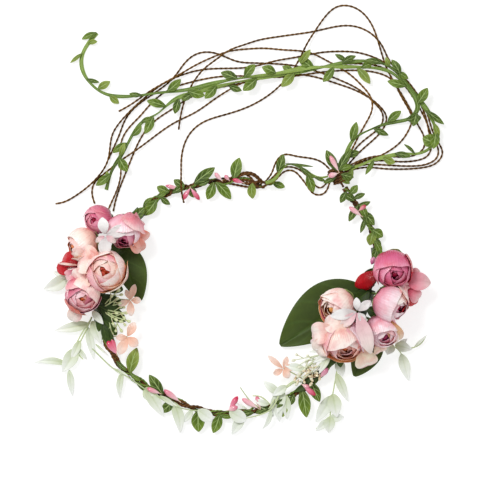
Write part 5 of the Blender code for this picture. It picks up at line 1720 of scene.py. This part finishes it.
# %% Calyxes and stems
STEM_RADIUS = 0.8
SEPAL_SIZE, SEPAL_SPAN, SEPAL_RIM = 1.08, 44, 124
sepals, stems = new_batch(), new_batch()
for centre, radius, facing in backs:
    for heading in range(0, 360, 72):
        cupped_petal(
            sepals, centre, SEPAL_SIZE * radius, facing, heading, SEPAL_SPAN, SEPAL_RIM, 0.0,
            "sepal", spiral=0.0,
        )
    foot = centre - 1.05 * radius * facing
    near = hoop_line[np.linalg.norm(hoop_line - foot, axis=1).argmin()]
    bend = (foot * 0.45 + near * 0.55) + (0, 0, 0.5)
    line = smooth([centre - 0.75 * radius * facing, foot, bend, near], 1.0)
    s = np.concatenate([[0], np.cumsum(np.linalg.norm(np.diff(line, axis=0), axis=1))])
    bulge = (0.45 * radius - STEM_RADIUS) * np.exp(-((s / (0.38 * radius)) ** 2))
    greens = between(s / s[-1], "#66803c", "#55692f", "#43542a")
    add_rod(stems, line * MM, (STEM_RADIUS + bulge) * MM, greens, 12)
make_piece("rose_calyxes", sepals, trim_leaf)
make_piece("rose_stems", stems, frosted)

# %% [markdown]
# ## Floral tape
#
# Floral tape is waxed crepe paper wound in a spiral. It lies close and smooth, so its solids stay
# as they are, and the slanted overlaps and the fine crepe are in the material.

# %% Floral tape
tape, tree, shader = new_material("waxed_crepe_tape", 0.55)
where = add_node(tree, "TexCoord").outputs["Object"]
slant = add_node(tree, "Mapping", {"Vector": where}, {"Rotation": (0, 0, 0.6)})
settings = {"Scale": spaced(11.1), "Distortion": 1.5, "Detail": 2.0, "Detail Scale": 2.0}
links = {"Vector": slant.outputs["Vector"]}
bands = add_node(tree, "TexWave", links, settings, bands_direction="Y").outputs["Fac"]
crepe = add_node(tree, "TexNoise", {"Vector": where}, {"Scale": spaced(1.111)})
greens = add_node(tree, "ValToRGB", {"Fac": bands})
for stop, code in zip(greens.color_ramp.elements, ("#2f3b2b", "#66735c")):
    stop.color = (*linear(code), 1)
colour = tinted(tree, greens.outputs["Color"], crepe.outputs["Fac"], 0.8, 1.2)
dress(tree, shader, colour, bands, 0.6, 0.5)
for name in ("cluster_tape_left", "cluster_tape_right", "end_tape_left", "end_tape_right"):
    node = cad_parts[name]
    node.data.materials.clear()
    node.data.materials.append(tape)

# %% [markdown]
# ## The light table
#
# The table is a sheet of opal acrylic lit from below, as studios use for small goods: it glows
# white, so the shadows on it stay faint while the lamp above still models the petals.

# %% The light table
TABLE_HALF, TABLE_DROP = 3.0, 0.2 * MM  # metres; the drop keeps it clear of the crown's underside
corners = [(-1, -1), (1, -1), (1, 1), (-1, 1)]
table_mesh = bpy.data.meshes.new("table")
table_mesh.from_pydata(
    [(x * TABLE_HALF, y * TABLE_HALF, -TABLE_DROP) for x, y in corners], [], [(0, 1, 2, 3)],
)
table = bpy.data.objects.new("table", table_mesh)
scene.collection.objects.link(table)
opal, tree, shader = new_material("opal_acrylic_light_table", 0.6)
shader.inputs["Base Color"].default_value = (0.45, 0.45, 0.45, 1)
shader.inputs["Emission Color"].default_value = (1, 1, 1, 1)
shader.inputs["Emission Strength"].default_value = 0.68
table_mesh.materials.append(opal)
print("table:", 2 * TABLE_HALF, "m wide")
